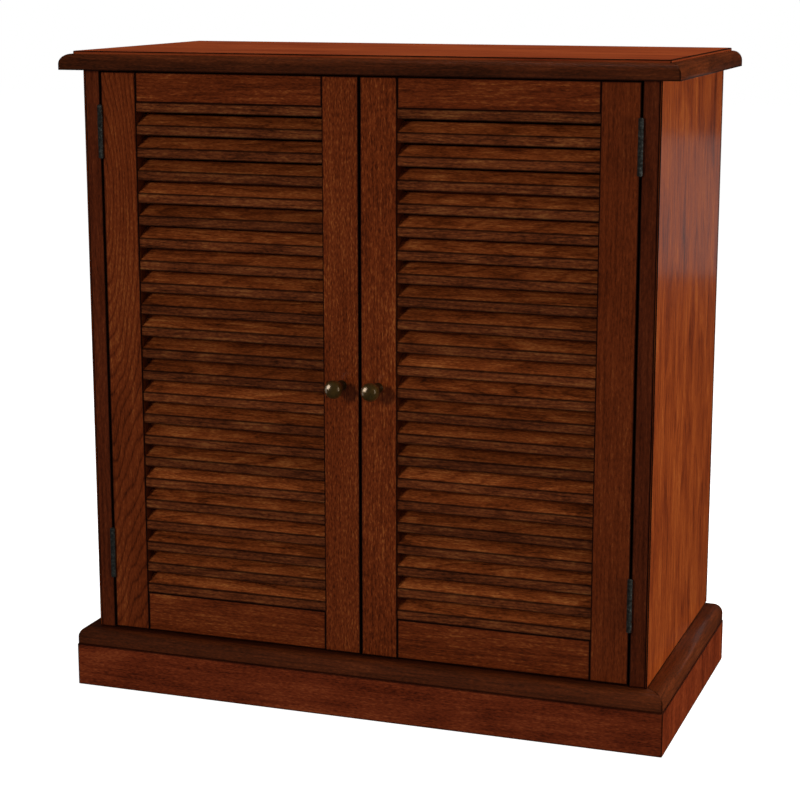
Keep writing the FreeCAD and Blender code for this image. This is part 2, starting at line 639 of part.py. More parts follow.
def hinge_leaf(name, kept):
    """One leaf of a butt hinge, about its pin; the frame leaf lies at -X of the pin."""
    body = doc.addObject("PartDesign::Body", name)
    plate = new_sketch(body, "XY_Plane", "plate")
    if kept == 0:
        rectangle(plate, f"-{LEAF_OUTER}", "0", f"-{LEAF_INNER}", LEAF_REACH)
    else:
        rectangle(plate, LEAF_INNER, "0", LEAF_OUTER, LEAF_REACH)
    pad(body, plate, "barrel_length")
    barrel = new_sketch(body, "XY_Plane", "barrel")
    circle(barrel, "0", "0", "barrel_diameter")
    pad(body, barrel, "barrel_length")
    bore = new_sketch(body, "XY_Plane", "bore")
    circle(bore, "0", "0", "barrel_bore")
    pocket(body, bore, "barrel_length", backwards=True)
    notches = new_sketch(body, "XZ_Plane", "notches", "knuckle_reach")
    for number in range(KNUCKLES):
        if number % 2 == kept:
            continue
        low = "0" if number == 0 else f"{number} * {KNUCKLE} - knuckle_gap / 2"
        high = f"{number + 1} * {KNUCKLE}"
        if number < KNUCKLES - 1:
            high += " + knuckle_gap / 2"
        rectangle(notches, "-knuckle_reach", low, "knuckle_reach", high)
    pocket(body, notches, "2 * knuckle_reach")
    return body


frame_leaf = hinge_leaf("frame_leaf", 0)
door_leaf = hinge_leaf("door_leaf", 1)

hinge_pin = doc.addObject("PartDesign::Body", "pin")
pin_profile = new_sketch(hinge_pin, "XZ_Plane", "profile")
outline(pin_profile, (
    ("0", "0"), ("pin_cap / 2", "0"), ("pin_cap / 2", "cap_height"),
    ("hinge_pin / 2", "cap_height"), ("hinge_pin / 2", "cap_height + barrel_length"),
    ("pin_cap / 2", "cap_height + barrel_length"),
    ("pin_cap / 2", "2 * cap_height + barrel_length"), ("0", "2 * cap_height + barrel_length"),
))
pin_turned = hinge_pin.newObject("PartDesign::Revolution", "pin_turned")
pin_turned.Profile = pin_profile
pin_turned.ReferenceAxis = (pin_profile, ["V_Axis"])

HINGE_FEET = ("lower_hinge", "upper_hinge")
PIN_Y = f"({FRONT} - barrel_stand)"
UPSIDE_DOWN = Rotation(Vector(0, 1, 0), 180)
SCREW_HEIGHTS = (0.18, 0.5, 0.82)
SCREW_SETBACKS = (0.35, 0.65, 0.35)


def hinge_places(side):
    """Place and turn of each leaf on one side; the right hand leaves are turned over."""
    if side == "left":
        return [(("-hinge_line", PIN_Y, foot), HEAD_UP) for foot in HINGE_FEET]
    return [(("hinge_line", PIN_Y, f"{foot} + barrel_length"), UPSIDE_DOWN) for foot in HINGE_FEET]


def leaf_screws(side, into_frame):
    """Places of the screws through the leaves of one side, heads flush with the leaves."""
    outwards = into_frame == (side == "left")
    turn = HEAD_TO_RIGHT if outwards else HEAD_TO_LEFT
    middle = "-hinge_line" if side == "left" else "hinge_line"
    reach = f"({LEAF_INNER} + hinge_screw_length)"
    x = f"{middle} - {reach}" if outwards else f"{middle} + {reach}"
    spots = []
    for foot in HINGE_FEET:
        for share, setback in zip(SCREW_HEIGHTS, SCREW_SETBACKS):
            y = f"{FRONT} + {setback} * leaf_depth"
            spots.append(((x, y, f"{foot} + {share} * barrel_length"), turn))
    return spots


copies("hinge_frame_leaves", frame_leaf, hinge_places("left") + hinge_places("right"))
frame_screws = copies("hinge_frame_screws", hinge_screw,
                      leaf_screws("left", True) + leaf_screws("right", True))
pin_places = []
for x in ("-hinge_line", "hinge_line"):
    for foot in HINGE_FEET:
        pin_places.append(((x, PIN_Y, f"{foot} - cap_height"), HEAD_UP))
copies("hinge_pins", hinge_pin, pin_places)
drill("hinge_frame_leaves", frame_screws)
for side in SIDES:
    drill(f"front_stile_{side}", frame_screws)
    leaves = f"{side}_hinge_door_leaves"
    copies(leaves, door_leaf, hinge_places(side))
    door_screws = copies(f"{side}_hinge_door_screws", hinge_screw, leaf_screws(side, False))
    drill(leaves, door_screws)
    drill(f"{side}_door_hinge_stile", door_screws)

# ---------------------------------------------------------------- knobs

for side in SIDES:
    x = "-knob_offset" if side == "left" else "knob_offset"
    foot = doc.addObject("Part::Cone", f"{side}_knob_foot")
    tie(foot, "Radius1", "knob_foot / 2")
    tie(foot, "Radius2", "knob_foot / 2 - 0.8")
    tie(foot, "Height", "knob_foot_height")
    neck = doc.addObject("Part::Cylinder", f"{side}_knob_neck")
    tie(neck, "Radius", "knob_neck / 2")
    tie(neck, "Height", "knob_reach - knob_diameter / 2")
    head = doc.addObject("Part::Sphere", f"{side}_knob_head")
    tie(head, "Radius", "knob_diameter / 2")
    for part, forward in ((foot, "0"), (neck, "0"), (head, "knob_reach - knob_diameter / 2")):
        place(part, (x, f"{FRONT} - ({forward})", "knob_height"), HEAD_TO_FRONT)
    knob = doc.addObject("Part::MultiFuse", f"{side}_knob_turned")
    knob.Shapes = [foot, neck, head]
    finish(f"{side}_knob", knob)

    shank = doc.addObject("Part::Cylinder", f"{side}_knob_screw_shank")
    tie(shank, "Radius", "knob_screw_shank / 2")
    tie(shank, "Height", "knob_screw_length")
    cap = doc.addObject("Part::Cone", f"{side}_knob_screw_cap")
    tie(cap, "Radius1", "knob_screw_head / 2 - 1")
    tie(cap, "Radius2", "knob_screw_head / 2")
    tie(cap, "Height", "knob_screw_head_height")
    place(shank, (x, DOOR_REAR, "knob_height"), HEAD_TO_FRONT)
    place(cap, (x, f"{DOOR_REAR} + knob_screw_head_height", "knob_height"), HEAD_TO_FRONT)
    bolt = doc.addObject("Part::MultiFuse", f"{side}_knob_bolt")
    bolt.Shapes = [shank, cap]
    finish(f"{side}_knob_screw", bolt)
    drill(f"{side}_knob", bolt)
    drill(f"{side}_door_lock_stile", bolt)

# ---------------------------------------------------------------- catches, strikes, bumpers

CATCH_TOP = f"({UNDER_TOP} - panel_thickness)"
CATCH_FRONT = f"({CARCASS_FRONT} - catch_forward)"
housings = []
magnets = []
catch_screw_places = []
for side in SIDES:
    middle = "-catch_offset" if side == "left" else "catch_offset"
    shell = block(f"{side}_catch_shell",
                  (f"{middle} - catch_width / 2", CATCH_FRONT, f"{CATCH_TOP} - catch_height"),
                  ("catch_width", "catch_depth", "catch_height"))
    flange = block(f"{side}_catch_flange",
                   (f"{middle} - catch_width / 2", f"{CATCH_FRONT} + catch_depth",
                    f"{CATCH_TOP} - catch_tab"),
                   ("catch_width", "catch_tab_depth", "catch_tab"))
    magnet = block(f"{side}_catch_magnet",
                   (f"{middle} - magnet_width / 2", CATCH_FRONT,
                    f"{CATCH_TOP} - (catch_height + magnet_height) / 2"),
                   ("magnet_width", "catch_depth - catch_forward", "magnet_height"))
    solid = doc.addObject("Part::MultiFuse", f"{side}_catch_solid")
    solid.Shapes = [shell, flange]
    housing = doc.addObject("Part::Cut", f"{side}_catch_body")
    housing.Base = solid
    housing.Tool = magnet
    housings.append(housing)
    magnets.append(magnet)
    for share in (-0.3, 0.3):
        spot = (f"{middle} + {share} * catch_width",
                f"{CATCH_FRONT} + catch_depth + catch_tab_depth / 2",
                f"{CATCH_TOP} - catch_tab + hinge_screw_length")
        catch_screw_places.append((spot, HEAD_DOWN))

    strike = f"{side}_strike_plate"
    finish(strike, block(strike,
                         (f"{middle} - strike_width / 2", DOOR_REAR,
                          f"{CATCH_TOP} - (catch_height + strike_height) / 2"),
                         ("strike_width", "strike_thickness", "strike_height")))
    strike_screw = copies(f"{side}_strike_screw", hinge_screw,
                          [((middle, f"{DOOR_REAR} + strike_thickness - hinge_screw_length",
                             f"{CATCH_TOP} - catch_height / 2"), HEAD_TO_REAR)])
    drill(strike, strike_screw)
    drill(f"{side}_door_top_rail", strike_screw)

    bumpers = []
    inner = "meeting_half_gap + meeting_bevel + bumper_diameter"
    for level, z in (("low", f"{BASE} + panel_thickness / 2 + door_gap"),
                     ("high", f"{UNDER_TOP} - panel_thickness / 2 - door_gap")):
        bumper = doc.addObject("Part::Cylinder", f"{side}_bumper_{level}")
        tie(bumper, "Radius", "bumper_diameter / 2")
        tie(bumper, "Height", "bumper_thickness")
        place(bumper, (f"-({inner})" if side == "left" else inner, DOOR_REAR, z), HEAD_TO_REAR)
        bumpers.append(bumper)
    pair = doc.addObject("Part::Compound", f"{side}_bumper_pair")
    pair.Links = bumpers
    finish(f"{side}_door_bumpers", pair)

for name, members in (("catch_housings", housings), ("catch_magnets", magnets)):
    group = doc.addObject("Part::Compound", name)
    group.Links = members
    finish(name, group)
catch_screws = copies("catch_screws", hinge_screw, catch_screw_places)
drill("catch_housings", catch_screws)
drill("stretcher_front", catch_screws)

# ---------------------------------------------------------------- check and export

doc.recompute()
for item in doc.Objects:
    if "Invalid" in item.State or "Error" in item.State:
        raise RuntimeError(f"{item.Name} failed: {item.State}")
os.makedirs("parts", exist_ok=True)
for label, piece in pieces.items():
    shape = piece.Shape
    if shape.isNull() or not shape.isValid() or shape.Volume <= 0:
        raise RuntimeError(f"{label} has no valid shape")
    shape.exportStep(f"parts/{label}.step")
print(len(pieces), "sub-parts written")
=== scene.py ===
import json
import math
import random

import bmesh
import bpy
from mathutils import Matrix, Vector

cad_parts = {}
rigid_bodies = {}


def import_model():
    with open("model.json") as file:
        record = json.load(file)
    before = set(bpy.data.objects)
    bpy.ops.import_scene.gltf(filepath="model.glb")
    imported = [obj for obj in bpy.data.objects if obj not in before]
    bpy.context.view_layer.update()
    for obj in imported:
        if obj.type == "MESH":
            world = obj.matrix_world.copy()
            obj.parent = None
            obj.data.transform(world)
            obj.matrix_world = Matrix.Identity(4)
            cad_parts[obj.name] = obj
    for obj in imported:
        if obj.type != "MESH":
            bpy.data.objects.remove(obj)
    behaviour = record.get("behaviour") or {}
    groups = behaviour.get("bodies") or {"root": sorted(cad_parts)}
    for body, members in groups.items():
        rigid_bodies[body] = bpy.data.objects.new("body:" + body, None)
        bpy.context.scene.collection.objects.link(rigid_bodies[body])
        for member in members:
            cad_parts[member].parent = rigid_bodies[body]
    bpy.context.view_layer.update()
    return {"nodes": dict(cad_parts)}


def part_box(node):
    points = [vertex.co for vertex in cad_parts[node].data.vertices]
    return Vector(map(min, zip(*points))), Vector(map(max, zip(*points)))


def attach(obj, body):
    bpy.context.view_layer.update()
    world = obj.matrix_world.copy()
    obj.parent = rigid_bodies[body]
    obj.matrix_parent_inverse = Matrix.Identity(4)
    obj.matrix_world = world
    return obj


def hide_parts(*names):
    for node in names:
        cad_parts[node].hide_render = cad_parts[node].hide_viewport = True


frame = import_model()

# ---------------------------------------------------------------- plinth
# Four boards of stained hardwood stand on edge under the cabinet, mitred at the front corners
# and glued. They are sanded, stained and sprayed with satin lacquer; the stain is rubbed darker
# along every edge, which draws a thin dark line at each joint.

PLINTH_EASING = 0.0006
DARK_EDGE = 0.0018


def linear(code):
    """Linear colour of an sRGB hex value."""
    parts = [int(code[at:at + 2], 16) / 255 for at in (0, 2, 4)]
    return [p / 12.92 if p <= 0.04045 else ((p + 0.055) / 1.055) ** 2.4 for p in parts] + [1.0]


def add_node(tree, kind, inputs=(), **settings):
    """Adds a node with its settings; an input takes a value or the socket that feeds it."""
    node = tree.nodes.new(kind)
    for name, value in settings.items():
        setattr(node, name, value)
    for name, value in dict(inputs).items():
        if isinstance(value, bpy.types.NodeSocket):
            tree.links.new(value, node.inputs[name])
        else:
            node.inputs[name].default_value = value
    return node


def new_finish(name):
    """Empty material with its shader; returns the material, its tree and the shader."""
    finish = bpy.data.materials.new(name)
    finish.use_nodes = True
    tree = finish.node_tree
    tree.nodes.clear()
    shader = add_node(tree, "ShaderNodeBsdfPrincipled")
    add_node(tree, "ShaderNodeOutputMaterial", {"Surface": shader.outputs[0]})
    return finish, tree, shader


def set_ramp(node, stops):
    """Gives a colour ramp its stops, each a place from 0 to 1 and a linear colour."""
    ramp = node.color_ramp
    while len(ramp.elements) < len(stops):
        ramp.elements.new(0.5)
    for element, (at, colour) in zip(ramp.elements, stops):
        element.position = at
        element.color = colour


def grey(level):
    return (level, level, level, 1.0)


def stained_wood(name, tones, edge_tone, ring=0.0055, figure=(0.34, 0.34, 0.30, 0.30),
                 gloss=0.3, gloss_rough=0.2, rough=0.42, edge_strength=1.0, narrow_face_shade=1.0,
                 curl=0.3):
    """Stained hardwood under satin lacquer: growth rings about each board's own pith, streaks
    along the grain, patches where the stain took unevenly, and open pores that hold the stain.
    tones run from the deepest stain to the palest; figure weighs rings, streaks, patches, pores."""
    finish, tree, shader = new_finish(name)
    place, half, pith, seed, tone, mitre = (
        add_node(tree, "ShaderNodeAttribute", attribute_name=title).outputs[kind]
        for title, kind in (("place", "Vector"), ("half", "Vector"), ("pith", "Vector"),
                            ("seed", "Fac"), ("tone", "Fac"), ("mitre", "Fac")))

    # Each board is cut from its own part of the tree
    own = add_node(tree, "ShaderNodeVectorMath", {0: seed, 1: (3.1, 1.7, 2.3), 2: place},
                   operation="MULTIPLY_ADD").outputs[0]

    # Growth rings are 2 to 4 mm apart in the wood and are drawn 4 to 12 mm apart, so that they
    # show; they wander by up to five rings over a hand's length
    stretched = add_node(tree, "ShaderNodeVectorMath", {0: own, 1: (4.0, 22.0, 22.0)},
                         operation="MULTIPLY").outputs[0]
    wander = add_node(tree, "ShaderNodeTexNoise",
                      {"Vector": stretched, "Scale": 1.0, "Detail": 2.0}).outputs["Fac"]
    at = add_node(tree, "ShaderNodeSeparateXYZ", {0: place}).outputs
    core = add_node(tree, "ShaderNodeSeparateXYZ", {0: pith}).outputs
    leaning = add_node(tree, "ShaderNodeMath", {0: at["X"], 1: core["X"], 2: at["Z"]},
                       operation="MULTIPLY_ADD").outputs[0]
    depth = add_node(tree, "ShaderNodeMath", {0: leaning, 1: core["Z"]},
                     operation="SUBTRACT").outputs[0]
    aside = add_node(tree, "ShaderNodeMath", {0: at["Y"], 1: core["Y"]},
                     operation="SUBTRACT").outputs[0]
    spoke = add_node(tree, "ShaderNodeCombineXYZ", {1: aside, 2: depth}).outputs[0]
    radius = add_node(tree, "ShaderNodeVectorMath", {0: spoke}, operation="LENGTH").outputs["Value"]
    turns = add_node(tree, "ShaderNodeMath", {0: radius, 1: ring}, operation="DIVIDE").outputs[0]
    bent = add_node(tree, "ShaderNodeMath", {0: wander, 1: 5.0, 2: turns},
                    operation="MULTIPLY_ADD").outputs[0]
    growth = add_node(tree, "ShaderNodeMath", {0: bent}, operation="FRACT").outputs[0]
    rings = add_node(tree, "ShaderNodeValToRGB", {0: growth})
    set_ramp(rings, [(0.0, grey(0.3)), (0.12, grey(0.68)), (0.5, grey(0.72)),
                     (0.8, grey(0.5)), (0.93, grey(0.08)), (1.0, grey(0.3))])

    # Streaks along the grain, 2 to 4 mm wide and a finger long
    fine = add_node(tree, "ShaderNodeVectorMath", {0: own, 1: (11.0, 300.0, 300.0)},
                    operation="MULTIPLY").outputs[0]
    streaks = add_node(tree, "ShaderNodeTexNoise",
                       {"Vector": fine, "Scale": 1.0, "Detail": 3.0, "Roughness": 0.6,
                        "Distortion": curl}).outputs["Fac"]
    # Patches of uneven stain 30 to 60 mm wide, the smaller the more the grain curls
    broad = add_node(tree, "ShaderNodeVectorMath", {0: own, 1: (5.0, 16.0, 16.0)},
                     operation="MULTIPLY").outputs[0]
    patches = add_node(tree, "ShaderNodeTexNoise",
                       {"Vector": broad, "Scale": 0.7 + curl, "Detail": 3.0, "Roughness": 0.55,
                        "Distortion": curl - 0.3}).outputs["Fac"]
    # Pores are 0.3 mm wide in the wood and are drawn 1.5 mm wide and 6 mm long, so that they show
    short = add_node(tree, "ShaderNodeVectorMath", {0: own, 1: (170.0, 640.0, 640.0)},
                     operation="MULTIPLY").outputs[0]
    pores = add_node(tree, "ShaderNodeTexNoise",
                     {"Vector": short, "Scale": 1.0, "Detail": 1.0,
                      "Distortion": 0.4}).outputs["Fac"]

    # The noises keep near their middle, so they count for more than twice their share
    weights = (figure[0], 2.4 * figure[1], 2.4 * figure[2], 2.2 * figure[3])
    level = 0.5 - sum(weights) / 2
    for source, weight in zip((rings.outputs["Color"], streaks, patches, pores), weights):
        level = add_node(tree, "ShaderNodeMath", {0: source, 1: weight, 2: level},
                         operation="MULTIPLY_ADD").outputs[0]
    stain = add_node(tree, "ShaderNodeValToRGB", {0: level})
    set_ramp(stain, [(share, linear(code)) for share, code in zip((0.08, 0.38, 0.62, 0.95), tones)])

    # Distance to the nearest edge of the board: the middle one of its three distances to a face
    inside = add_node(tree, "ShaderNodeVectorMath", {0: place}, operation="ABSOLUTE").outputs[0]
    gaps = add_node(tree, "ShaderNodeVectorMath", {0: half, 1: inside},
                    operation="SUBTRACT").outputs[0]
    gap = add_node(tree, "ShaderNodeSeparateXYZ", {0: gaps}).outputs
    # Painted shade: the narrow faces are darkened by narrow_face_shade, as if they stood in shadow
    painted_narrow_face_shade = add_node(tree, "ShaderNodeMapRange",
                      {"Value": gap["Y"], "From Min": 0.0002, "From Max": 0.0008,
                       "To Min": narrow_face_shade, "To Max": 1.0}).outputs[0]
    shade = add_node(tree, "ShaderNodeMath", {0: painted_narrow_face_shade, 1: tone}, operation="MULTIPLY").outputs[0]
    toned = add_node(tree, "ShaderNodeVectorMath", {0: stain.outputs["Color"], "Scale": shade},
                     operation="SCALE").outputs[0]
    end_gap = add_node(tree, "ShaderNodeMath", {0: gap["X"], 1: mitre},
                       operation="SUBTRACT").outputs[0]
    least = add_node(tree, "ShaderNodeMath", {0: end_gap, 1: gap["Y"]},
                     operation="MINIMUM").outputs[0]
    most = add_node(tree, "ShaderNodeMath", {0: end_gap, 1: gap["Y"]},
                    operation="MAXIMUM").outputs[0]
    lower = add_node(tree, "ShaderNodeMath", {0: most, 1: gap["Z"]}, operation="MINIMUM").outputs[0]
    edge = add_node(tree, "ShaderNodeMath", {0: least, 1: lower}, operation="MAXIMUM").outputs[0]
    uneven = add_node(tree, "ShaderNodeMath", {0: streaks, 1: -0.0012, 2: edge},
                      operation="MULTIPLY_ADD").outputs[0]
    rubbed = add_node(tree, "ShaderNodeMapRange",
                      {"Value": uneven, "From Min": 0.0, "From Max": DARK_EDGE,
                       "To Min": edge_strength, "To Max": 0.0},
                      interpolation_type="SMOOTHSTEP").outputs[0]
    colour = add_node(tree, "ShaderNodeMix",
                      {"Factor": rubbed, 6: toned, 7: linear(edge_tone)},
                      data_type="RGBA").outputs[2]
    tree.links.new(colour, shader.inputs["Base Color"])

    polish = add_node(tree, "ShaderNodeMapRange",
                      {"Value": patches, "From Min": 0.3, "From Max": 0.7,
                       "To Min": rough - 0.05, "To Max": rough + 0.08}).outputs[0]
    tree.links.new(polish, shader.inputs["Roughness"])
    relief = add_node(tree, "ShaderNodeMath", {0: streaks, 1: 0.7, 2: pores},
                      operation="MULTIPLY_ADD").outputs[0]
    bump = add_node(tree, "ShaderNodeBump",
                    {"Height": relief, "Strength": 0.35, "Distance": 0.00025}).outputs[0]
    tree.links.new(bump, shader.inputs["Normal"])
    shader.inputs["IOR"].default_value = 1.5
    shader.inputs["Coat Weight"].default_value = gloss
    shader.inputs["Coat Roughness"].default_value = gloss_rough
    shader.inputs["Specular IOR Level"].default_value = 0.2
    return finish


def write_grain(mesh, low, high, along=None, pith=(0.03, 0.01, -0.06), tone=1.0, mitre=None):
    """Writes each point's place in its board, with X along the grain, for the wood to follow."""
    size = high - low
    order = sorted(range(3), key=lambda axis: -size[axis])
    if along is not None:
        order = [along] + [axis for axis in order if axis != along]
    middle = (low + high) / 2
    count = len(mesh.vertices)
    seed = saw.random()
    rows = {
        "place": ("FLOAT_VECTOR", "vector",
                  [vert.co[axis] - middle[axis] for vert in mesh.vertices for axis in order]),
        "half": ("FLOAT_VECTOR", "vector", [size[axis] / 2 for axis in order] * count),
        "pith": ("FLOAT_VECTOR", "vector", list(pith) * count),
        "seed": ("FLOAT", "value", [seed] * count),
        "tone": ("FLOAT", "value", [tone] * count),
        "mitre": ("FLOAT", "value", [mitre(v.co) for v in mesh.vertices] if mitre else [0] * count),
    }
    for name, (kind, field, values) in rows.items():
        mesh.attributes.new(name, kind, "POINT").data.foreach_set(field, values)


def fit(name, shape, finish, body, slot, *nodes, smooth=0.0):
    """Makes a shape a piece of the scene: its finish, its body and its CAD nodes. The slot is not
    used.
    """
    mesh = shape
    if isinstance(shape, bmesh.types.BMesh):
        mesh = bpy.data.meshes.new(name)
        shape.to_mesh(mesh)
        shape.free()
    mesh.name = name
    mesh.materials.clear()
    mesh.materials.append(finish)
    mesh.shade_flat()
    if smooth:
        mesh.shade_smooth()
        mesh.set_sharp_from_angle(angle=math.radians(smooth))
    thing = bpy.data.objects.new(name, mesh)
    bpy.context.scene.collection.objects.link(thing)
    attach(thing, body)
    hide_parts(*nodes)
    return thing


def ease(shape, edges, easing):
    """Rounds edges over a little, as sandpaper does."""
    bmesh.ops.bevel(shape, geom=edges, offset=easing, segments=2, profile=0.5, affect="EDGES")


def block(low, high):
    shape = bmesh.new()
    bmesh.ops.create_cube(shape, size=1.0,
                          matrix=Matrix.LocRotScale((low + high) / 2, None, high - low))
    return shape


def eased_block(low, high, easing):
    """Block with all its edges eased."""
    shape = block(low, high)
    ease(shape, shape.edges[:], easing)
    return shape


def run_between(start, end):
    """Closed shape between two outlines that have the same number of corners."""
    shape = bmesh.new()
    first, last = ([shape.verts.new(spot) for spot in outline] for outline in (start, end))
    for at in range(len(first)):
        after = (at + 1) % len(first)
        shape.faces.new((first[at], first[after], last[after], last[at]))
    shape.faces.new(first)
    shape.faces.new(last)
    bmesh.ops.recalc_face_normals(shape, faces=shape.faces)
    return shape


def fit_board(name, node, finish, body, slot, easing, **grain):
    """Board that fills the box of one CAD node."""
    low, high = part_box(node)
    thing = fit(name, eased_block(low, high, easing), finish, body, slot, node)
    write_grain(thing.data, low, high, **grain)
    return thing


def mitred_run(section, node, side, easing):
    """Sweeps a section of (inwards, up) pairs along the front or a side of the cabinet; the
    front corners are cut at 45 degrees. Returns the shape and its mitre's depth at a point."""
    low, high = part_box(node)
    front_low, front_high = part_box(node.replace(side, "front"))
    reach, face, length = front_high.x, front_low.y, high.y - low.y
    sign = 1 if side == "right" else -1
    if side == "front":
        ends = [[(way * (reach - inwards), face + inwards, low.z + up) for inwards, up in section]
                for way in (-1, 1)]
    else:
        ends = [[(sign * (reach - inwards), face + inwards, low.z + up) for inwards, up in section],
                [(sign * (reach - inwards), high.y, low.z + up) for inwards, up in section]]
    shape = run_between(*ends)
    sharp = [edge for edge in shape.edges if edge.calc_face_angle(0) > math.radians(30)]
    ease(shape, sharp, easing)
    if side == "front":
        return shape, lambda p: p.y - face
    # A side's far end is square, so the mitre's depth counts from the front only
    return shape, lambda p: (reach - sign * p.x) * (1 - (p.y - face) / length)


# Draws each board's place in the tree, in the order that the boards are cut
saw = random.Random(11)

# Hardwood stained a deep red-brown and sprayed satin: mottled, with close dark flecks of pore
plinth_wood = stained_wood("stained_hardwood_plinth",
                           ("300f06", "6c270d", "883615", "ac5428"), "140603",
                           figure=(0.12, 0.26, 0.36, 0.38), edge_strength=0.75, curl=1.0)
PLINTH_TONES = {"front": 0.92, "left": 1.0, "right": 1.0}
low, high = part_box("plinth_rear")
thick = high.y - low.y
for side, tone in PLINTH_TONES.items():
    node = f"plinth_{side}"
    low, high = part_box(node)
    tall = high.z - low.z
    section = ((0, 0), (thick, 0), (thick, tall), (0, tall))
    shape, depth = mitred_run(section, node, side, PLINTH_EASING)
    board = fit(f"{node}_board", shape, plinth_wood, "cabinet", "side_wood", node)
    write_grain(board.data, low, high, along=0 if side == "front" else 2, tone=tone,
                mitre=depth if side == "front" else None, pith=(0.01, 0.03, -0.09))
fit_board("plinth_rear_board", "plinth_rear", plinth_wood, "cabinet", "side_wood", PLINTH_EASING)

# ---------------------------------------------------------------- base moulding
# A rounded-over moulding of darker stained hardwood lies flat on the plinth, mitred at the
# front corners, and the doors close down on to it. A plain rail of the same board closes the rear.

BASE_ROUND = 0.0127
MOULDING_EASING = 0.0005
ROUND_STEPS = 10
LEDGE = 0.0007

# The same hardwood with more stain left on the rounded face: near black-brown, even and satin
moulding_wood = stained_wood("dark_stained_hardwood_moulding",
                             ("1f0d06", "401c0b", "5a270f", "7e3f1c"), "100503",
                             figure=(0.14, 0.24, 0.20, 0.26), gloss=0.35, gloss_rough=0.13,
                             rough=0.5, edge_strength=0.75, curl=0.8)


def rounded_section(wide, tall, radius):
    """Section of a moulding whose upper outer corner is a quarter round; (inwards, up) pairs."""
    points = [(0, 0), (wide, 0), (wide, tall), (radius + LEDGE, tall)]
    for step in range(ROUND_STEPS, -1, -1):
        turn = math.pi / 2 * step / ROUND_STEPS
        points.append((radius - radius * math.cos(turn), tall - radius + radius * math.sin(turn)))
    return points


def fit_moulding(prefix, wide, radius, tones):
    """Front, left and right run of a rounded moulding."""
    for side, tone in tones.items():
        node = f"{prefix}_{side}"
        low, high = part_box(node)
        section = rounded_section(wide, high.z - low.z, radius)
        shape, depth = mitred_run(section, node, side, MOULDING_EASING)
        run = fit(f"{node}_run", shape, moulding_wood, "cabinet", "moulding_wood", node, smooth=30)
        write_grain(run.data, low, high, along=0 if side == "front" else 1, tone=tone,
                    mitre=depth, pith=(0.02, 0.01, -0.07))


low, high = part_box("base_rail_rear")
fit_moulding("base_moulding", high.y - low.y, BASE_ROUND,
             {"front": 1.25, "left": 1.2, "right": 1.35})
fit_board("base_rail_rear_board", "base_rail_rear", moulding_wood, "cabinet", "moulding_wood",
          MOULDING_EASING)

# ---------------------------------------------------------------- corner blocks and dowels
# Triangular blocks of bare pine are glued inside the plinth's corners, and plain beech dowels
# join the panels. Both are left unstained, and both are hidden once the cabinet is together.

# Pine and beech as planed: pale, matt and straw-coloured, with no lacquer
bare_wood = stained_wood("bare_pine_and_beech",
                         ("b08a58", "c9a673", "d8b988", "e6cda2"), "a07c4c",
                         figure=(0.3, 0.3, 0.2, 0.2), gloss=0.0, rough=0.62, edge_strength=0.2)


def merged_copy(node):
    """Shape of a CAD node, with its loose triangles joined."""
    shape = bmesh.new()
    shape.from_mesh(frame["nodes"][node].data)
    bmesh.ops.remove_doubles(shape, verts=shape.verts, dist=1e-6)
    return shape


for node, along in (("corner_blocks", 2), ("carcass_dowels", 0)):
    piece = fit(f"{node}_set", merged_copy(node), bare_wood, "cabinet",
                "inner_wood" if node == "corner_blocks" else "dowel_wood", node)
    write_grain(piece.data, *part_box(node), along=along)

# ---------------------------------------------------------------- side panels
# Each side is one wide board of stained hardwood with vertical grain. Its front edge is cut back
# behind a thin skin for the frame stile, and two columns of holes inside take the shelf pins.

SIDE_EASING = 0.0006
HOLE_SIDES = 20
HOLE_ROWS = 20
ROWS_BELOW_A_SHELF = 2
ROWS_TO_THE_NEXT_SHELF = 5

# Wide board stained a lighter orange-brown and rubbed smooth: soft figure and a clear gloss
side_wood = stained_wood("stained_hardwood_side",
                         ("3a1407", "843512", "a44a19", "c8702f"), "1c0804", ring=0.012,
                         figure=(0.28, 0.24, 0.34, 0.20), gloss=0.5, gloss_rough=0.15, curl=1.0)


def loose_parts(node):
    """Lowest and highest corner of each separate solid of a CAD node, in order of place."""
    shape = merged_copy(node)
    shape.verts.ensure_lookup_table()
    seen, found = set(), []
    for first in range(len(shape.verts)):
        if first in seen:
            continue
        seen.add(first)
        group = [shape.verts[first]]
        for vert in group:
            for edge in vert.link_edges:
                other = edge.other_vert(vert)
                if other.index not in seen:
                    seen.add(other.index)
                    group.append(other)
        spots = [vert.co for vert in group]
        found.append((Vector([min(s[i] for s in spots) for i in range(3)]),
                      Vector([max(s[i] for s in spots) for i in range(3)])))
    shape.free()
    return sorted(found, key=lambda pair: [round(value, 5) for value in (*pair[0], *pair[1])])


def baked(thing):
    """Plain mesh of an object with its modifiers applied; the object is removed."""
    bpy.context.view_layer.update()
    graph = bpy.context.evaluated_depsgraph_get()
    mesh = bpy.data.meshes.new_from_object(thing.evaluated_get(graph))
    bpy.data.objects.remove(thing)
    return mesh


def open_tree(name, inputs):
    """Starts a geometry tree; each named input has a kind and a first value. Returns the tree
    and the sockets that its inputs feed."""
    group = bpy.data.node_groups.new(name, "GeometryNodeTree")
    for title, (kind, value) in inputs.items():
        made = group.interface.new_socket(title, in_out="INPUT", socket_type=f"NodeSocket{kind}")
        if value is not None:
            made.default_value = value
    group.interface.new_socket("Geometry", in_out="OUTPUT", socket_type="NodeSocketGeometry")
    return group, add_node(group, "NodeGroupInput").outputs


def close_tree(group, geometry, material):
    """Ends a geometry tree in real geometry that carries its material."""
    solid = add_node(group, "GeometryNodeRealizeInstances", {"Geometry": geometry})
    painted = add_node(group, "GeometryNodeSetMaterial",
                       {"Geometry": solid.outputs[0], "Material": material})
    add_node(group, "NodeGroupOutput", {0: painted.outputs[0]})


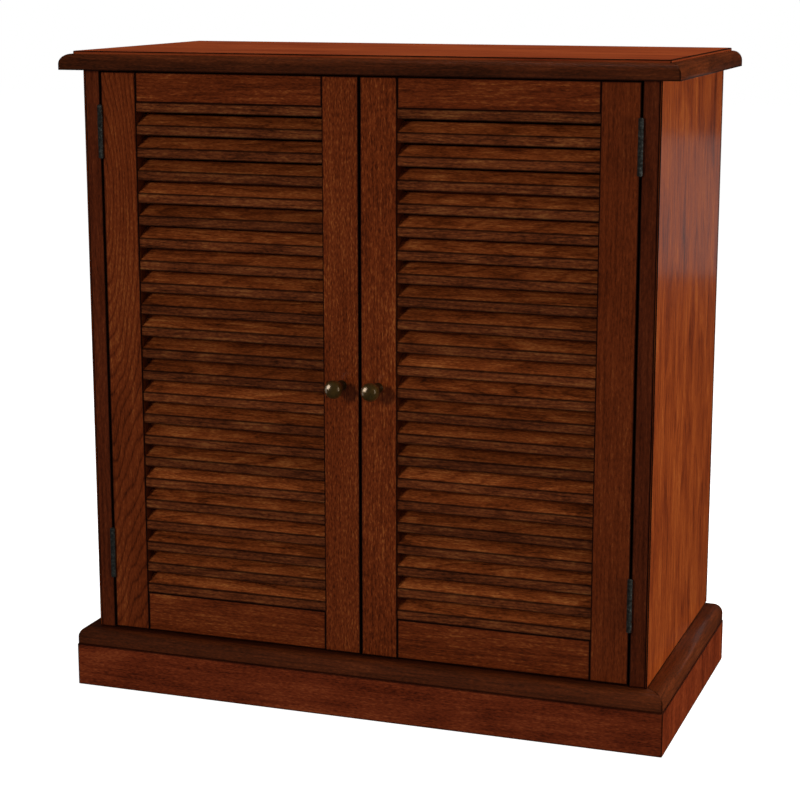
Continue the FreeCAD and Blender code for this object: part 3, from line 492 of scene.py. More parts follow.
def grow(name, group, values, mesh=None):
    """Runs a geometry tree with its inputs set by name; returns a plain mesh."""
    seedling = bpy.data.objects.new(name, mesh or bpy.data.meshes.new(name))
    bpy.context.scene.collection.objects.link(seedling)
    modifier = seedling.modifiers.new("tree", "NODES")
    modifier.node_group = group
    for item in group.interface.items_tree:
        if item.in_out == "INPUT" and item.name in values:
            modifier[item.identifier] = values[item.name]
    return baked(seedling)


# The holes are rods on a grid of points, cut out of the board
rods, given = open_tree("pin_hole_rods", {
    "Columns": ("Int", 2), "Rows": ("Int", HOLE_ROWS), "Column spacing": ("Float", 0.2),
    "Row spacing": ("Float", 0.03), "Diameter": ("Float", 0.005), "Depth": ("Float", 0.01),
    "Middle": ("Vector", None), "Material": ("Material", None)})
less_rows = add_node(rods, "ShaderNodeMath", {0: given["Rows"], 1: 1.0}, operation="SUBTRACT")
tall = add_node(rods, "ShaderNodeMath", {0: less_rows.outputs[0], 1: given["Row spacing"]},
                operation="MULTIPLY")
lattice = add_node(rods, "GeometryNodeMeshGrid",
                   {"Size X": given["Column spacing"], "Size Y": tall.outputs[0],
                    "Vertices X": given["Columns"], "Vertices Y": given["Rows"]})
thin = add_node(rods, "ShaderNodeMath", {0: given["Diameter"], 1: 0.5}, operation="MULTIPLY")
rod = add_node(rods, "GeometryNodeMeshCylinder",
               {"Vertices": HOLE_SIDES, "Radius": thin.outputs[0], "Depth": given["Depth"]})
placed = add_node(rods, "GeometryNodeInstanceOnPoints",
                  {"Points": lattice.outputs["Mesh"], "Instance": rod.outputs["Mesh"]})
upright = add_node(rods, "GeometryNodeTransform",
                   {"Geometry": placed.outputs[0], "Translation": given["Middle"],
                    "Rotation": (math.pi / 2, 0.0, math.pi / 2)})
close_tree(rods, upright.outputs[0], given["Material"])

pins = loose_parts("shelf_pins")
pin_columns = sorted({round((low.y + high.y) / 2, 4) for low, high in pins})
pin_rows = sorted({round(high.z, 4) for low, high in pins})
pin_size = pins[0][1].z - pins[0][0].z
row_spacing = (pin_rows[1] - pin_rows[0]) / ROWS_TO_THE_NEXT_SHELF
for side, sign in (("left", -1), ("right", 1)):
    node = f"side_panel_{side}"
    low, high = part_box(node)
    stile_low, stile_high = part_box(f"front_stile_{side}")
    skin = high.x - stile_high.x if sign > 0 else stile_low.x - low.x
    inner, outer = sorted((low.x, high.x), key=abs)
    outline = ((outer, low.y), (outer, high.y), (inner, high.y), (inner, stile_high.y),
               (outer - sign * skin, stile_high.y), (outer - sign * skin, low.y))
    shape = run_between([(x, y, low.z) for x, y in outline], [(x, y, high.z) for x, y in outline])
    ease(shape, shape.edges[:], SIDE_EASING)
    mesh = bpy.data.meshes.new(node)
    shape.to_mesh(mesh)
    shape.free()
    blank = bpy.data.objects.new(node, mesh)
    bpy.context.scene.collection.objects.link(blank)
    first_row = pin_rows[0] - pin_size / 2 - ROWS_BELOW_A_SHELF * row_spacing
    hole_depth = abs(inner - (pins[0][0].x if sign < 0 else pins[-1][1].x))
    centre = Vector((inner, sum(pin_columns) / 2, first_row + (HOLE_ROWS - 1) * row_spacing / 2))
    drills = grow("drills", rods, {"Columns": 2, "Rows": HOLE_ROWS,
                                   "Column spacing": pin_columns[1] - pin_columns[0],
                                   "Row spacing": row_spacing, "Diameter": pin_size,
                                   "Depth": 2 * hole_depth, "Middle": centre,
                                   "Material": side_wood})
    cutter = bpy.data.objects.new("drills", drills)
    bpy.context.scene.collection.objects.link(cutter)
    cut = blank.modifiers.new("holes", "BOOLEAN")
    cut.operation, cut.solver, cut.object = "DIFFERENCE", "EXACT", cutter
    panel = fit(f"{node}_board", baked(blank), side_wood, "cabinet", "side_wood", node)
    bpy.data.objects.remove(cutter)
    write_grain(panel.data, low, high, along=2, pith=(0.035, 0.03, -sign * 0.05))

# ---------------------------------------------------------------- bottom, stretchers and shelves
# The bottom panel, the two stretchers under the top and the four loose shelves are stained boards
# with square faces and eased edges; the shelves lie on steel pins and lift out.

INNER_EASING = 0.001

# Stained once and lacquered thinly, as inside work is: duller brown, with little gloss
inner_wood = stained_wood("stained_hardwood_inside",
                          ("34140b", "63290f", "7c381a", "97512b"), "200c07",
                          figure=(0.28, 0.3, 0.28, 0.22), gloss=0.3, rough=0.48)
for node in ("bottom_panel", "stretcher_front", "stretcher_rear",
             "shelf_1", "shelf_2", "shelf_3", "shelf_4"):
    fit_board(f"{node}_board", node, inner_wood, "cabinet", "inner_wood", INNER_EASING,
              tone=saw.uniform(0.9, 1.1), pith=(0.03, saw.uniform(-0.05, 0.05), -0.05))

# ---------------------------------------------------------------- shelf pins
# Pins turned from steel and nickel-plated push into the holes in the side panels. Each has a
# small flange against the panel and a flat tongue under the shelf.

PIN_EASING = 0.0004
TONGUE_THICK = 0.002


def cloudy(name, stops, spots, detail, rough=None, metallic=0.0, soften=0.5):
    """Material that is a little uneven: its colour runs through stops, and its roughness between
    two values, with one noise of so many spots to a metre. Returns it, its tree, its shader and
    the noise."""
    finish, tree, shader = new_finish(name)
    noise = add_node(tree, "ShaderNodeTexNoise",
                     {"Vector": add_node(tree, "ShaderNodeTexCoord").outputs["Object"],
                      "Scale": spots, "Detail": detail, "Roughness": soften}).outputs["Fac"]
    hue = add_node(tree, "ShaderNodeValToRGB", {0: noise})
    set_ramp(hue, [(at, linear(code)) for at, code in stops])
    tree.links.new(hue.outputs["Color"], shader.inputs["Base Color"])
    if rough:
        dull = add_node(tree, "ShaderNodeMapRange",
                        {"Value": noise, "To Min": rough[0], "To Max": rough[1]}).outputs[0]
        tree.links.new(dull, shader.inputs["Roughness"])
    shader.inputs["Metallic"].default_value = metallic
    return finish, tree, shader, noise


# Barrel-plated nickel: bright, with a faint cloudiness from the bath in spots of 2.5 mm
plated_steel = cloudy("nickel_plated_steel", [(0.3, "b3b0a8"), (0.7, "cfccc4")], 400.0, 3.0,
                      rough=(0.22, 0.42), metallic=1.0)[0]


def turned(profile, foot, direction, steps=32, closed=False):
    """Turns a profile of (radius, height) pairs about an axis from foot; a radius of 0 is a tip."""
    shape = bmesh.new()
    frame_turn = Vector(direction).to_track_quat("Z", "Y").to_matrix().to_4x4()
    seat = Matrix.Translation(foot) @ frame_turn
    rings = []
    for radius, height in profile:
        if radius == 0:
            rings.append([shape.verts.new(seat @ Vector((0, 0, height)))] * steps)
            continue
        ring = []
        for step in range(steps):
            turn = 2 * math.pi * step / steps
            spot = Vector((radius * math.cos(turn), radius * math.sin(turn), height))
            ring.append(shape.verts.new(seat @ spot))
        rings.append(ring)
    pairs = list(zip(rings, rings[1:] + rings[:1]))
    for lower, upper in pairs if closed else pairs[:-1]:
        for step in range(steps):
            after = (step + 1) % steps
            corners = (lower[step], lower[after], upper[after], upper[step])
            shape.faces.new(list(dict.fromkeys(corners)))
    bmesh.ops.recalc_face_normals(shape, faces=shape.faces)
    return shape


def join(shapes):
    """Joins several shapes into one."""
    whole = bmesh.new()
    for shape in shapes:
        mesh = bpy.data.meshes.new("part")
        shape.to_mesh(mesh)
        shape.free()
        whole.from_mesh(mesh)
        bpy.data.meshes.remove(mesh)
    return whole


def copies_on_points(group, points, model):
    """Copies of a model on points that carry their own turn."""
    turn = add_node(group, "GeometryNodeInputNamedAttribute", {"Name": "turn"},
                    data_type="FLOAT_VECTOR")
    return add_node(group, "GeometryNodeInstanceOnPoints",
                    {"Points": points, "Instance": model, "Rotation": turn.outputs[0]}).outputs[0]


def turned_points(name, points):
    """Mesh of (place, direction) pairs, with the turn that aims a model's Z axis that way."""
    mesh = bpy.data.meshes.new(name)
    mesh.from_pydata([place for place, _ in points], [], [])
    turns = [angle for _, direction in points
             for angle in Vector(direction).to_track_quat("Z", "Y").to_euler()]
    mesh.attributes.new("turn", "FLOAT_VECTOR", "POINT").data.foreach_set("vector", turns)
    return mesh


set_out, given = open_tree("copies_on_points", {
    "Points": ("Geometry", None), "Model": ("Object", None), "Material": ("Material", None)})
model = add_node(set_out, "GeometryNodeObjectInfo", {"Object": given["Model"]})
close_tree(set_out, copies_on_points(set_out, given["Points"], model.outputs["Geometry"]),
           given["Material"])


def set_out_copies(name, model, points, finish):
    """Plain mesh of copies of a shape at (place, direction of its Z axis) pairs."""
    pattern = bpy.data.meshes.new("model")
    model.to_mesh(pattern)
    model.free()
    master = bpy.data.objects.new("model", pattern)
    bpy.context.scene.collection.objects.link(master)
    made = grow(name, set_out, {"Model": master, "Material": finish}, turned_points(name, points))
    bpy.data.objects.remove(master)
    return made


def head_points(node, direction):
    """Middle of each solid's end in one direction, paired with that direction."""
    direction = Vector(direction)
    found = []
    for low, high in loose_parts(node):
        reach = abs((high - low).dot(direction)) / 2
        found.append(((low + high) / 2 + direction * reach, direction))
    return found


pin_low, pin_high = pins[0]
pin_radius = pin_size / 2
tongue_wide = pin_high.y - pin_low.y
tongue_long = pin_high.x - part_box("side_panel_left")[1].x
shank = turned([(0, 0), (pin_radius * 0.8, 0), (pin_radius, pin_radius * 0.2),
                (pin_radius, hole_depth)], (0, 0, -hole_depth), (0, 0, 1), 16)
flange = turned([(0, 0), (pin_radius * 1.35, 0), (pin_radius * 1.35, 0.0006), (0, 0.0006)],
                (0, 0, 0), (0, 0, 1), 20)
tongue = eased_block(Vector((-tongue_wide / 2, pin_radius - TONGUE_THICK, 0)),
                     Vector((tongue_wide / 2, pin_radius, tongue_long)), PIN_EASING)
seats = []
for low, high in pins:
    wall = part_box("side_panel_left")[1].x if low.x < 0 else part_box("side_panel_right")[0].x
    seats.append(((wall, (low.y + high.y) / 2, high.z - pin_radius),
                  (1 if low.x < 0 else -1, 0, 0)))
whole = set_out_copies("shelf_pins", join([shank, flange, tongue]), seats, plated_steel)
fit("shelf_pin_set", whole, plated_steel, "cabinet", "plated_steel", "shelf_pins", smooth=35)

# ---------------------------------------------------------------- back panel and its nails
# A sheet of stained plywood closes the back. It is nailed to the sides, the bottom and the
# rear stretcher with blacked steel nails, whose heads are set flush.

PLY_EASING = 0.0005

# Rotary-cut face veneer, stained and thinly lacquered: broad wavy figure and little gloss
back_ply = stained_wood("stained_plywood_back",
                        ("3a170c", "6f3216", "87431f", "a0582f"), "240d07", ring=0.011,
                        figure=(0.36, 0.22, 0.24, 0.18), gloss=0.25, rough=0.5)
fit_board("back_panel_sheet", "back_panel", back_ply, "cabinet", "back_ply", PLY_EASING,
          along=2, pith=(0.05, 0.02, -0.09))

# Oil-blacked: dark, with worn bright spots of 1.5 mm where the driver has turned
screw_steel = cloudy("blackened_screw_steel",
                     [(0.35, "1f1d1b"), (0.62, "3a3733"), (0.8, "77726a")], 700.0, 4.0,
                     rough=(0.32, 0.55), metallic=1.0)[0]

nail_low, nail_high = loose_parts("back_panel_nails")[0]
nail_long = nail_high.y - nail_low.y
nail_head = (nail_high.x - nail_low.x) / 2
nail = turned([(0, -nail_long), (nail_head * 0.4, -nail_long + 0.003), (nail_head * 0.4, -0.0018),
               (nail_head, -0.0003), (nail_head * 0.92, 0), (0, 0)], (0, 0, 0), (0, 0, 1), 16)
nails = set_out_copies("nails", nail, head_points("back_panel_nails", (0, 1, 0)), screw_steel)
fit("back_panel_nail_set", nails, screw_steel, "cabinet", "screw_steel", "back_panel_nails")

# ---------------------------------------------------------------- frame stiles
# A narrow stile of stained hardwood stands down each front corner, let in behind the side
# panel's skin; the doors' hinges are screwed to its inner edge.

FRAME_EASING = 0.0007
# The deepest stained of the front's boards: dark, plain and satin
frame_wood = stained_wood("stained_hardwood_frame",
                          ("2a0f06", "62260d", "7e3414", "a85528"), "140603",
                          figure=(0.18, 0.22, 0.20, 0.26), rough=0.44)
for side, tone in (("left", 0.66), ("right", 0.58)):
    fit_board(f"front_stile_{side}_board", f"front_stile_{side}", frame_wood, "cabinet",
              "frame_wood", FRAME_EASING, tone=tone, pith=(0.02, 0.06, -0.05))

# ---------------------------------------------------------------- top
# The top is one wide stained board with a small eased edge. A moulding with a quarter round is
# glued round its front and sides a little below its face, which leaves a narrow ledge.

TOP_EASING = 0.0012
TOP_ROUND = 0.013

# Wide board with a fine straight figure, levelled and sprayed: even red-brown under satin
top_wood = stained_wood("stained_hardwood_top",
                        ("4a1a0c", "8c3818", "a44a22", "be6432"), "1c0804",
                        figure=(0.16, 0.22, 0.26, 0.16), rough=0.38)
fit_board("top_board", "top_panel", top_wood, "cabinet", "top_wood", TOP_EASING,
          pith=(0.02, 0.08, -0.12))
low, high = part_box("top_moulding_left")
# The right run's tone is raised above the front's: painted light, as the side light falls on it
fit_moulding("top_moulding", high.x - low.x, TOP_ROUND, {"front": 0.85, "left": 0.9, "right": 1.2})

# ---------------------------------------------------------------- screws
# Cross-headed countersunk screws hold the top, the hinges and the catches. Their recesses are
# cut here; the shanks run inside the wood.

screw_tree, given = open_tree("countersunk_screws", {
    "Points": ("Geometry", None), "Head": ("Float", 0.005), "Head height": ("Float", 0.0015),
    "Shank": ("Float", 0.0026), "Length": ("Float", 0.013), "Recess": ("Float", 0.0028),
    "Material": ("Material", None)})
head_radius, shank_radius, sink, down, slot_wide = (
    add_node(screw_tree, "ShaderNodeMath", {0: given[title], 1: share},
             operation="MULTIPLY").outputs[0]
    for title, share in (("Head", 0.5), ("Shank", 0.5), ("Head height", -1.0), ("Length", -1.0),
                         ("Recess", 0.24)))
head_cone = add_node(screw_tree, "GeometryNodeMeshCone",
                     {"Vertices": 24, "Radius Top": head_radius, "Radius Bottom": shank_radius,
                      "Depth": given["Head height"]})
head_at = add_node(screw_tree, "ShaderNodeCombineXYZ", {2: sink}).outputs[0]
head_set = add_node(screw_tree, "GeometryNodeTransform",
                    {"Geometry": head_cone.outputs["Mesh"], "Translation": head_at})
recessed = head_set.outputs[0]
for wide, long in ((slot_wide, given["Recess"]), (given["Recess"], slot_wide)):
    size = add_node(screw_tree, "ShaderNodeCombineXYZ", {0: wide, 1: long, 2: given["Head height"]})
    arm = add_node(screw_tree, "GeometryNodeMeshCube", {"Size": size.outputs[0]})
    carve = add_node(screw_tree, "GeometryNodeMeshBoolean", operation="DIFFERENCE", solver="EXACT")
    screw_tree.links.new(recessed, carve.inputs["Mesh 1"])
    screw_tree.links.new(arm.outputs["Mesh"], carve.inputs["Mesh 2"])
    recessed = carve.outputs["Mesh"]
body_long = add_node(screw_tree, "ShaderNodeMath", {0: given["Length"], 1: given["Head height"]},
                     operation="SUBTRACT").outputs[0]
shank_cone = add_node(screw_tree, "GeometryNodeMeshCone",
                      {"Vertices": 12, "Radius Top": shank_radius, "Radius Bottom": 0.0003,
                       "Depth": body_long})
shank_at = add_node(screw_tree, "ShaderNodeCombineXYZ", {2: down}).outputs[0]
shank_set = add_node(screw_tree, "GeometryNodeTransform",
                     {"Geometry": shank_cone.outputs["Mesh"], "Translation": shank_at})
one_screw = add_node(screw_tree, "GeometryNodeJoinGeometry")
screw_tree.links.new(recessed, one_screw.inputs[0])
screw_tree.links.new(shank_set.outputs[0], one_screw.inputs[0])
close_tree(screw_tree, copies_on_points(screw_tree, given["Points"], one_screw.outputs[0]),
           given["Material"])


def fit_screws(node, points, body, head_height):
    """Screws in place of a CAD node, their heads at (place, direction) pairs."""
    low, high = loose_parts(node)[0]
    sizes = sorted(high - low)
    values = {"Head": sizes[0], "Head height": head_height, "Shank": sizes[0] * 0.52,
              "Length": sizes[2], "Recess": sizes[0] * 0.56, "Material": screw_steel}
    screws = grow(node, screw_tree, values, turned_points(node, points))
    fit(f"{node}_set", screws, screw_steel, body, "screw_steel", node)


fit_screws("top_screws", head_points("top_screws", (0, 0, -1)), "cabinet", 0.002)

# ---------------------------------------------------------------- door stiles
# Each door has a broad hinge stile and a narrower lock stile of stained hardwood. The slats and
# the rails are let into their inner edges, and the meeting edge is bevelled at the rear.

STILE_EASING = 0.0004
MEETING_BEVEL = 0.0035

# One stain on boards that were sawn in different ways: arched rings, plain, or full of flecks
DOOR_TONES = ("300f06", "682809", "863812", "bc6a2e")
# Their narrow side faces are darkened to a quarter by narrow_face_shade: painted shade for the
# stiles' inner edges beside the slats
flat_sawn = stained_wood("stained_hardwood_flat_sawn", DOOR_TONES, "140603", ring=0.0052,
                         figure=(0.40, 0.20, 0.20, 0.26), rough=0.44, narrow_face_shade=0.25)
quiet = stained_wood("stained_hardwood_quiet", DOOR_TONES, "140603", ring=0.0050,
                     figure=(0.14, 0.22, 0.18, 0.26), rough=0.44, narrow_face_shade=0.25)
flecked = stained_wood("stained_hardwood_flecked", DOOR_TONES, "140603", ring=0.0050,
                       figure=(0.16, 0.18, 0.20, 0.44), rough=0.44, narrow_face_shade=0.25)
# The left hinge stile is flat-sawn and arched, the right one is sawn straight and plain
STILE_LOOKS = {
    ("left", "hinge"): (flat_sawn, 0.90, (0.20, -0.030, 0.026)),
    ("left", "lock"): (flecked, 0.96, (0.02, 0.09, -0.05)),
    ("right", "lock"): (flecked, 1.0, (0.02, -0.09, -0.05)),
    ("right", "hinge"): (quiet, 0.84, (0.02, 0.10, -0.04)),
}
for (side, kind), (door_wood, tone, pith) in STILE_LOOKS.items():
    node = f"{side}_door_{kind}_stile"
    low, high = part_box(node)
    shape = block(low, high)
    if kind == "lock":
        meeting = min(low.x, high.x, key=abs)
        rear = [edge for edge in shape.edges
                if all(abs(v.co.x - meeting) < 1e-5 and v.co.y > high.y - 1e-5
                       for v in edge.verts)]
        bmesh.ops.bevel(shape, geom=rear, offset=MEETING_BEVEL, segments=1, affect="EDGES")
    ease(shape, shape.edges[:], STILE_EASING)
    stile = fit(f"{node}_board", shape, door_wood, f"{side}_door", "frame_wood", node)
    write_grain(stile.data, low, high, along=2, tone=tone, pith=pith)

# ---------------------------------------------------------------- door rails
# A rail of the same wood joins the stiles at the top and the bottom of each door, set a little
# behind their face. The upper rail's foot is planed to the slope of the slat below it.

RAIL_EASING = 0.0006
PLANED_EASING = 0.0002

# The doors' stain on straight-grained boards: streaky from end to end
streaked = stained_wood("stained_hardwood_streaked", DOOR_TONES, "140603", ring=0.0040,
                        figure=(0.18, 0.36, 0.18, 0.32), rough=0.44, curl=1.0)

for side in ("left", "right"):
    slat_low, slat_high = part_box(f"{side}_door_slats")
    for kind, tone in (("top", 0.86), ("bottom", 0.88)):
        node = f"{side}_door_{kind}_rail"
        low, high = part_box(node)
        between = sorted(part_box(f"{side}_door_{stile}_stile")[end].x
                         for stile, end in (("hinge", 1 if side == "left" else 0),
                                            ("lock", 0 if side == "left" else 1)))
        low.x, high.x = between
        if kind == "top":
            rise = (slat_high.z - low.z) * (high.y - slat_low.y) / (slat_high.y - slat_low.y)
            outline = ((low.y, low.z), (slat_low.y, low.z), (high.y, low.z + rise),
                       (high.y, high.z), (low.y, high.z))
        else:
            outline = ((low.y, low.z), (high.y, low.z), (high.y, high.z), (low.y, high.z))
        shape = run_between(*([(x, y, z) for y, z in outline] for x in (low.x, high.x)))
        sharp = [edge for edge in shape.edges if edge.calc_length() > 0.001]
        ease(shape, sharp, PLANED_EASING if kind == "top" else RAIL_EASING)
        rail = fit(f"{node}_board", shape, streaked, f"{side}_door", "frame_wood", node)
        write_grain(rail.data, low, high, along=0, tone=tone, pith=(0.03, 0.02, -0.05))

# ---------------------------------------------------------------- louvre slats
# Twenty-three thin slats of browner hardwood fill each door. Their faces are upright at the
# front and rear and slope up to the rear between, and their ends are glued into the stiles.

SLAT_ROUND = 0.0006
SLAT_COUNT = 23

# Thin slats stained one by one, so no two match: browner, patchy, with curled figure
# Their upright front and rear faces are darkened by narrow_face_shade: painted shade that leaves
# the sloping tops lighter
slat_wood = stained_wood("stained_hardwood_slats",
                         ("3c1b0c", "7f3b19", "a65225", "d78342"), "160804",
                         figure=(0.30, 0.30, 0.36, 0.38), rough=0.46, narrow_face_shade=0.46,
                         edge_strength=0.8, curl=1.6)
slat_tree, given = open_tree("louvre_slats", {
    "Count": ("Int", SLAT_COUNT), "Pitch": ("Float", 0.03), "Length": ("Float", 0.26),
    "Depth": ("Float", 0.025), "Edge": ("Float", 0.013), "Rise": ("Float", 0.013),
    "Rounding": ("Float", SLAT_ROUND), "Foot": ("Vector", None), "Seed": ("Int", 3),
    "Material": ("Material", None)})
halves = {title: add_node(slat_tree, "ShaderNodeMath", {0: given[title], 1: 0.5},
                          operation="MULTIPLY").outputs[0]
          for title in ("Length", "Depth", "Edge")}
# The section is drawn as an upright box, which the slope then shears
bar = add_node(slat_tree, "GeometryNodeCurvePrimitiveQuadrilateral",
               {"Width": given["Depth"], "Height": given["Edge"]}, mode="RECTANGLE")
eased = add_node(slat_tree, "GeometryNodeFilletCurve",
                 {"Curve": bar.outputs[0], "Radius": given["Rounding"], "Count": 3}, mode="POLY")
start = add_node(slat_tree, "ShaderNodeMath", {0: halves["Length"], 1: -1.0},
                 operation="MULTIPLY").outputs[0]
start_at = add_node(slat_tree, "ShaderNodeCombineXYZ", {0: start}).outputs[0]
end_at = add_node(slat_tree, "ShaderNodeCombineXYZ", {0: halves["Length"]}).outputs[0]
spine = add_node(slat_tree, "GeometryNodeCurvePrimitiveLine", {"Start": start_at, "End": end_at})
swept = add_node(slat_tree, "GeometryNodeCurveToMesh",
                 {"Curve": spine.outputs[0], "Profile Curve": eased.outputs[0],
                  "Fill Caps": True})
there = add_node(slat_tree, "GeometryNodeInputPosition").outputs[0]
stored = swept.outputs[0]
box_half = add_node(slat_tree, "ShaderNodeCombineXYZ",
                    {0: halves["Length"], 1: halves["Depth"], 2: halves["Edge"]}).outputs[0]
for title, value in (("place", there), ("half", box_half)):
    stored = add_node(slat_tree, "GeometryNodeStoreNamedAttribute",
                      {"Geometry": stored, "Name": title, 3: value},
                      data_type="FLOAT_VECTOR", domain="POINT").outputs[0]
split = add_node(slat_tree, "ShaderNodeSeparateXYZ", {0: there}).outputs
slope = add_node(slat_tree, "ShaderNodeMath", {0: given["Rise"], 1: given["Depth"]},
                 operation="DIVIDE").outputs[0]
lift = add_node(slat_tree, "ShaderNodeMath", {0: split["Y"], 1: slope},
                operation="MULTIPLY").outputs[0]
shift = add_node(slat_tree, "ShaderNodeCombineXYZ", {2: lift}).outputs[0]
sheared = add_node(slat_tree, "GeometryNodeSetPosition", {"Geometry": stored, "Offset": shift})
step = add_node(slat_tree, "ShaderNodeCombineXYZ", {2: given["Pitch"]}).outputs[0]
ladder = add_node(slat_tree, "GeometryNodeMeshLine",
                  {"Count": given["Count"], "Start Location": given["Foot"], "Offset": step},
                  mode="OFFSET")
rack = add_node(slat_tree, "GeometryNodeInstanceOnPoints",
                {"Points": ladder.outputs[0], "Instance": sheared.outputs[0]}).outputs[0]
for title, low_value, high_value, kind, extra in (
        ("seed", 0.0, 1.0, "FLOAT", 0), ("tone", 0.80, 1.22, "FLOAT", 1),
        ("pith", (-0.10, -0.02, -0.09), (0.10, 0.02, -0.02), "FLOAT_VECTOR", 2)):
    spread = add_node(slat_tree, "FunctionNodeRandomValue", data_type=kind)
    ends = (2, 3) if kind == "FLOAT" else (0, 1)
    spread.inputs[ends[0]].default_value = low_value
    spread.inputs[ends[1]].default_value = high_value
    draw = add_node(slat_tree, "ShaderNodeMath", {0: given["Seed"], 1: extra * 17.0},
                    operation="ADD").outputs[0]
    slat_tree.links.new(draw, spread.inputs["Seed"])
    keep = add_node(slat_tree, "GeometryNodeStoreNamedAttribute",
                    {"Geometry": rack, "Name": title}, data_type=kind, domain="INSTANCE")
    source = next(out for out in spread.outputs if out.enabled)
    target = next(put for put in keep.inputs if put.enabled and put.name == "Value")
    slat_tree.links.new(source, target)
    rack = keep.outputs[0]
close_tree(slat_tree, rack, given["Material"])

for side, seed in (("left", 3), ("right", 8)):
    node = f"{side}_door_slats"
    low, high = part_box(node)
    parts = loose_parts(node)
    one_low, one_high = parts[0]
    pitch = (parts[-1][0].z - one_low.z) / (SLAT_COUNT - 1)
    edge_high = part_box(f"{side}_door_top_rail")[0].z - parts[-1][0].z
    rise = one_high.z - one_low.z - edge_high
    slats = grow(node, slat_tree, {
        "Count": SLAT_COUNT, "Pitch": pitch, "Length": high.x - low.x, "Depth": high.y - low.y,
        "Edge": edge_high, "Rise": rise, "Rounding": SLAT_ROUND, "Seed": seed,
        "Foot": (one_low + one_high) / 2, "Material": slat_wood})
    fit(f"{side}_door_slat_set", slats, slat_wood, f"{side}_door", "slat_wood", node)

# ---------------------------------------------------------------- butt hinges
# Two blackened steel butt hinges carry each door. A leaf is folded round the pin into knuckles,
# three on the frame's leaf and two on the door's, and only the knuckles show when it is shut.

KNUCKLE_COUNT = 5
KNUCKLE_EASING = 0.0003
KNUCKLE_GAP = 0.0002
LEAF_THICK = 0.00075
LEAF_GAP = 0.0001
LEAF_CUT_BACK = 0.0037
LEAF_EASING = 0.0002
PIN_RADIUS = 0.00155

# Black-oxide finish: nearly black, a little oily, greyer in spots of 4 mm that have rubbed
hinge_steel, tree, shader, grain = cloudy(
    "blackened_hinge_steel", [(0.3, "2a2b29"), (0.55, "42433f"), (0.75, "6a6c66")], 260.0, 4.0,
    rough=(0.34, 0.55), metallic=0.5)
tree.links.new(add_node(tree, "ShaderNodeBump",
                        {"Height": grain, "Strength": 0.25, "Distance": 0.0002}).outputs[0],
               shader.inputs["Normal"])


def hinge_leaf(low, high, pin_x, barrel_radius, sign, kept):
    """One leaf with its even (kept 0) or odd (kept 1) knuckles; sign is the side of the pin that
    the plate lies on."""
    axis_y = low.y + barrel_radius
    tall = (high.z - low.z) / KNUCKLE_COUNT
    plates = [(axis_y + LEAF_CUT_BACK, high.y, low.z, high.z)]
    shapes = []
    for number in range(KNUCKLE_COUNT):
        if number % 2 != kept:
            continue
        foot = low.z + number * tall + (KNUCKLE_GAP / 2 if number else 0)
        head = low.z + (number + 1) * tall - (KNUCKLE_GAP / 2 if number < KNUCKLE_COUNT - 1 else 0)
        long = head - foot
        shapes.append(turned([(PIN_RADIUS, 0), (barrel_radius - KNUCKLE_EASING, 0),
                              (barrel_radius, KNUCKLE_EASING),
                              (barrel_radius, long - KNUCKLE_EASING),
                              (barrel_radius - KNUCKLE_EASING, long), (PIN_RADIUS, long)],
                             (pin_x, axis_y, foot), (0, 0, 1), 28, closed=True))
        plates.append((axis_y, axis_y + LEAF_CUT_BACK + 0.0005, foot, head))
    for near, far, foot, head in plates:
        inner, outer = pin_x + sign * LEAF_GAP, pin_x + sign * (LEAF_GAP + LEAF_THICK)
        shapes.append(eased_block(Vector((min(inner, outer), near, foot)),
                                  Vector((max(inner, outer), far, head)), LEAF_EASING))
    return shapes


hinge_parts = loose_parts("hinge_pins")
pin_low, pin_high = hinge_parts[0]
barrel_radius = (pin_low.y + pin_high.y) / 2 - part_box("hinge_frame_leaves")[0].y
for node, body, kept in (("hinge_frame_leaves", "cabinet", 0),
                         ("left_hinge_door_leaves", "left_door", 1),
                         ("right_hinge_door_leaves", "right_door", 1)):
    leaves = []
    for low, high in loose_parts("hinge_frame_leaves"):
        side = -1 if low.x < 0 else 1
        if body != "cabinet" and (body == "left_door") != (side < 0):
            continue
        pin_x = side * abs(pin_low.x + pin_high.x) / 2
        plate_side = side if body == "cabinet" else -side
        leaves += hinge_leaf(low, high, pin_x, barrel_radius, plate_side, kept)
    fit(f"{node}_set", join(leaves), hinge_steel, body, "hinge_steel", node, smooth=35)

# The pin is a steel rod with a domed cap riveted on each end
caps = []
for low, high in hinge_parts:
    cap_radius = (high.x - low.x) / 2
    middle = (low + high) / 2
    long = high.z - low.z
    caps.append(turned([(0, 0), (cap_radius * 0.6, 0.0001), (cap_radius * 0.92, 0.0004),
                        (cap_radius, 0.001), (PIN_RADIUS, 0.001), (PIN_RADIUS, long - 0.001),
                        (cap_radius, long - 0.001), (cap_radius * 0.92, long - 0.0004),
                        (cap_radius * 0.6, long - 0.0001), (0, long)],
                       (middle.x, middle.y, low.z), (0, 0, 1), 24))
fit("hinge_pin_set", join(caps), hinge_steel, "cabinet", "hinge_steel", "hinge_pins", smooth=35)

# Screws go through the leaves, with their heads flush
for node, body in (("hinge_frame_screws", "cabinet"), ("left_hinge_door_screws", "left_door"),
                   ("right_hinge_door_screws", "right_door")):
    points = []
    for low, high in loose_parts(node):
        side = -1 if low.x < 0 else 1
        towards = -side if body == "cabinet" else side
        middle = (low + high) / 2
        points.append((Vector((high.x if towards > 0 else low.x, middle.y, middle.z)),
                       (towards, 0, 0)))
    fit_screws(node, points, body, LEAF_THICK)

# ---------------------------------------------------------------- knobs
# Cast bronze knobs with an oiled dark patina: a slightly flattened ball on a neck that flares
# to a small foot, each held by a pan-headed screw through the lock stile.

BALL_FLAT = 0.90
BALL_STEPS = 20
NECK_LENGTH = 0.0108

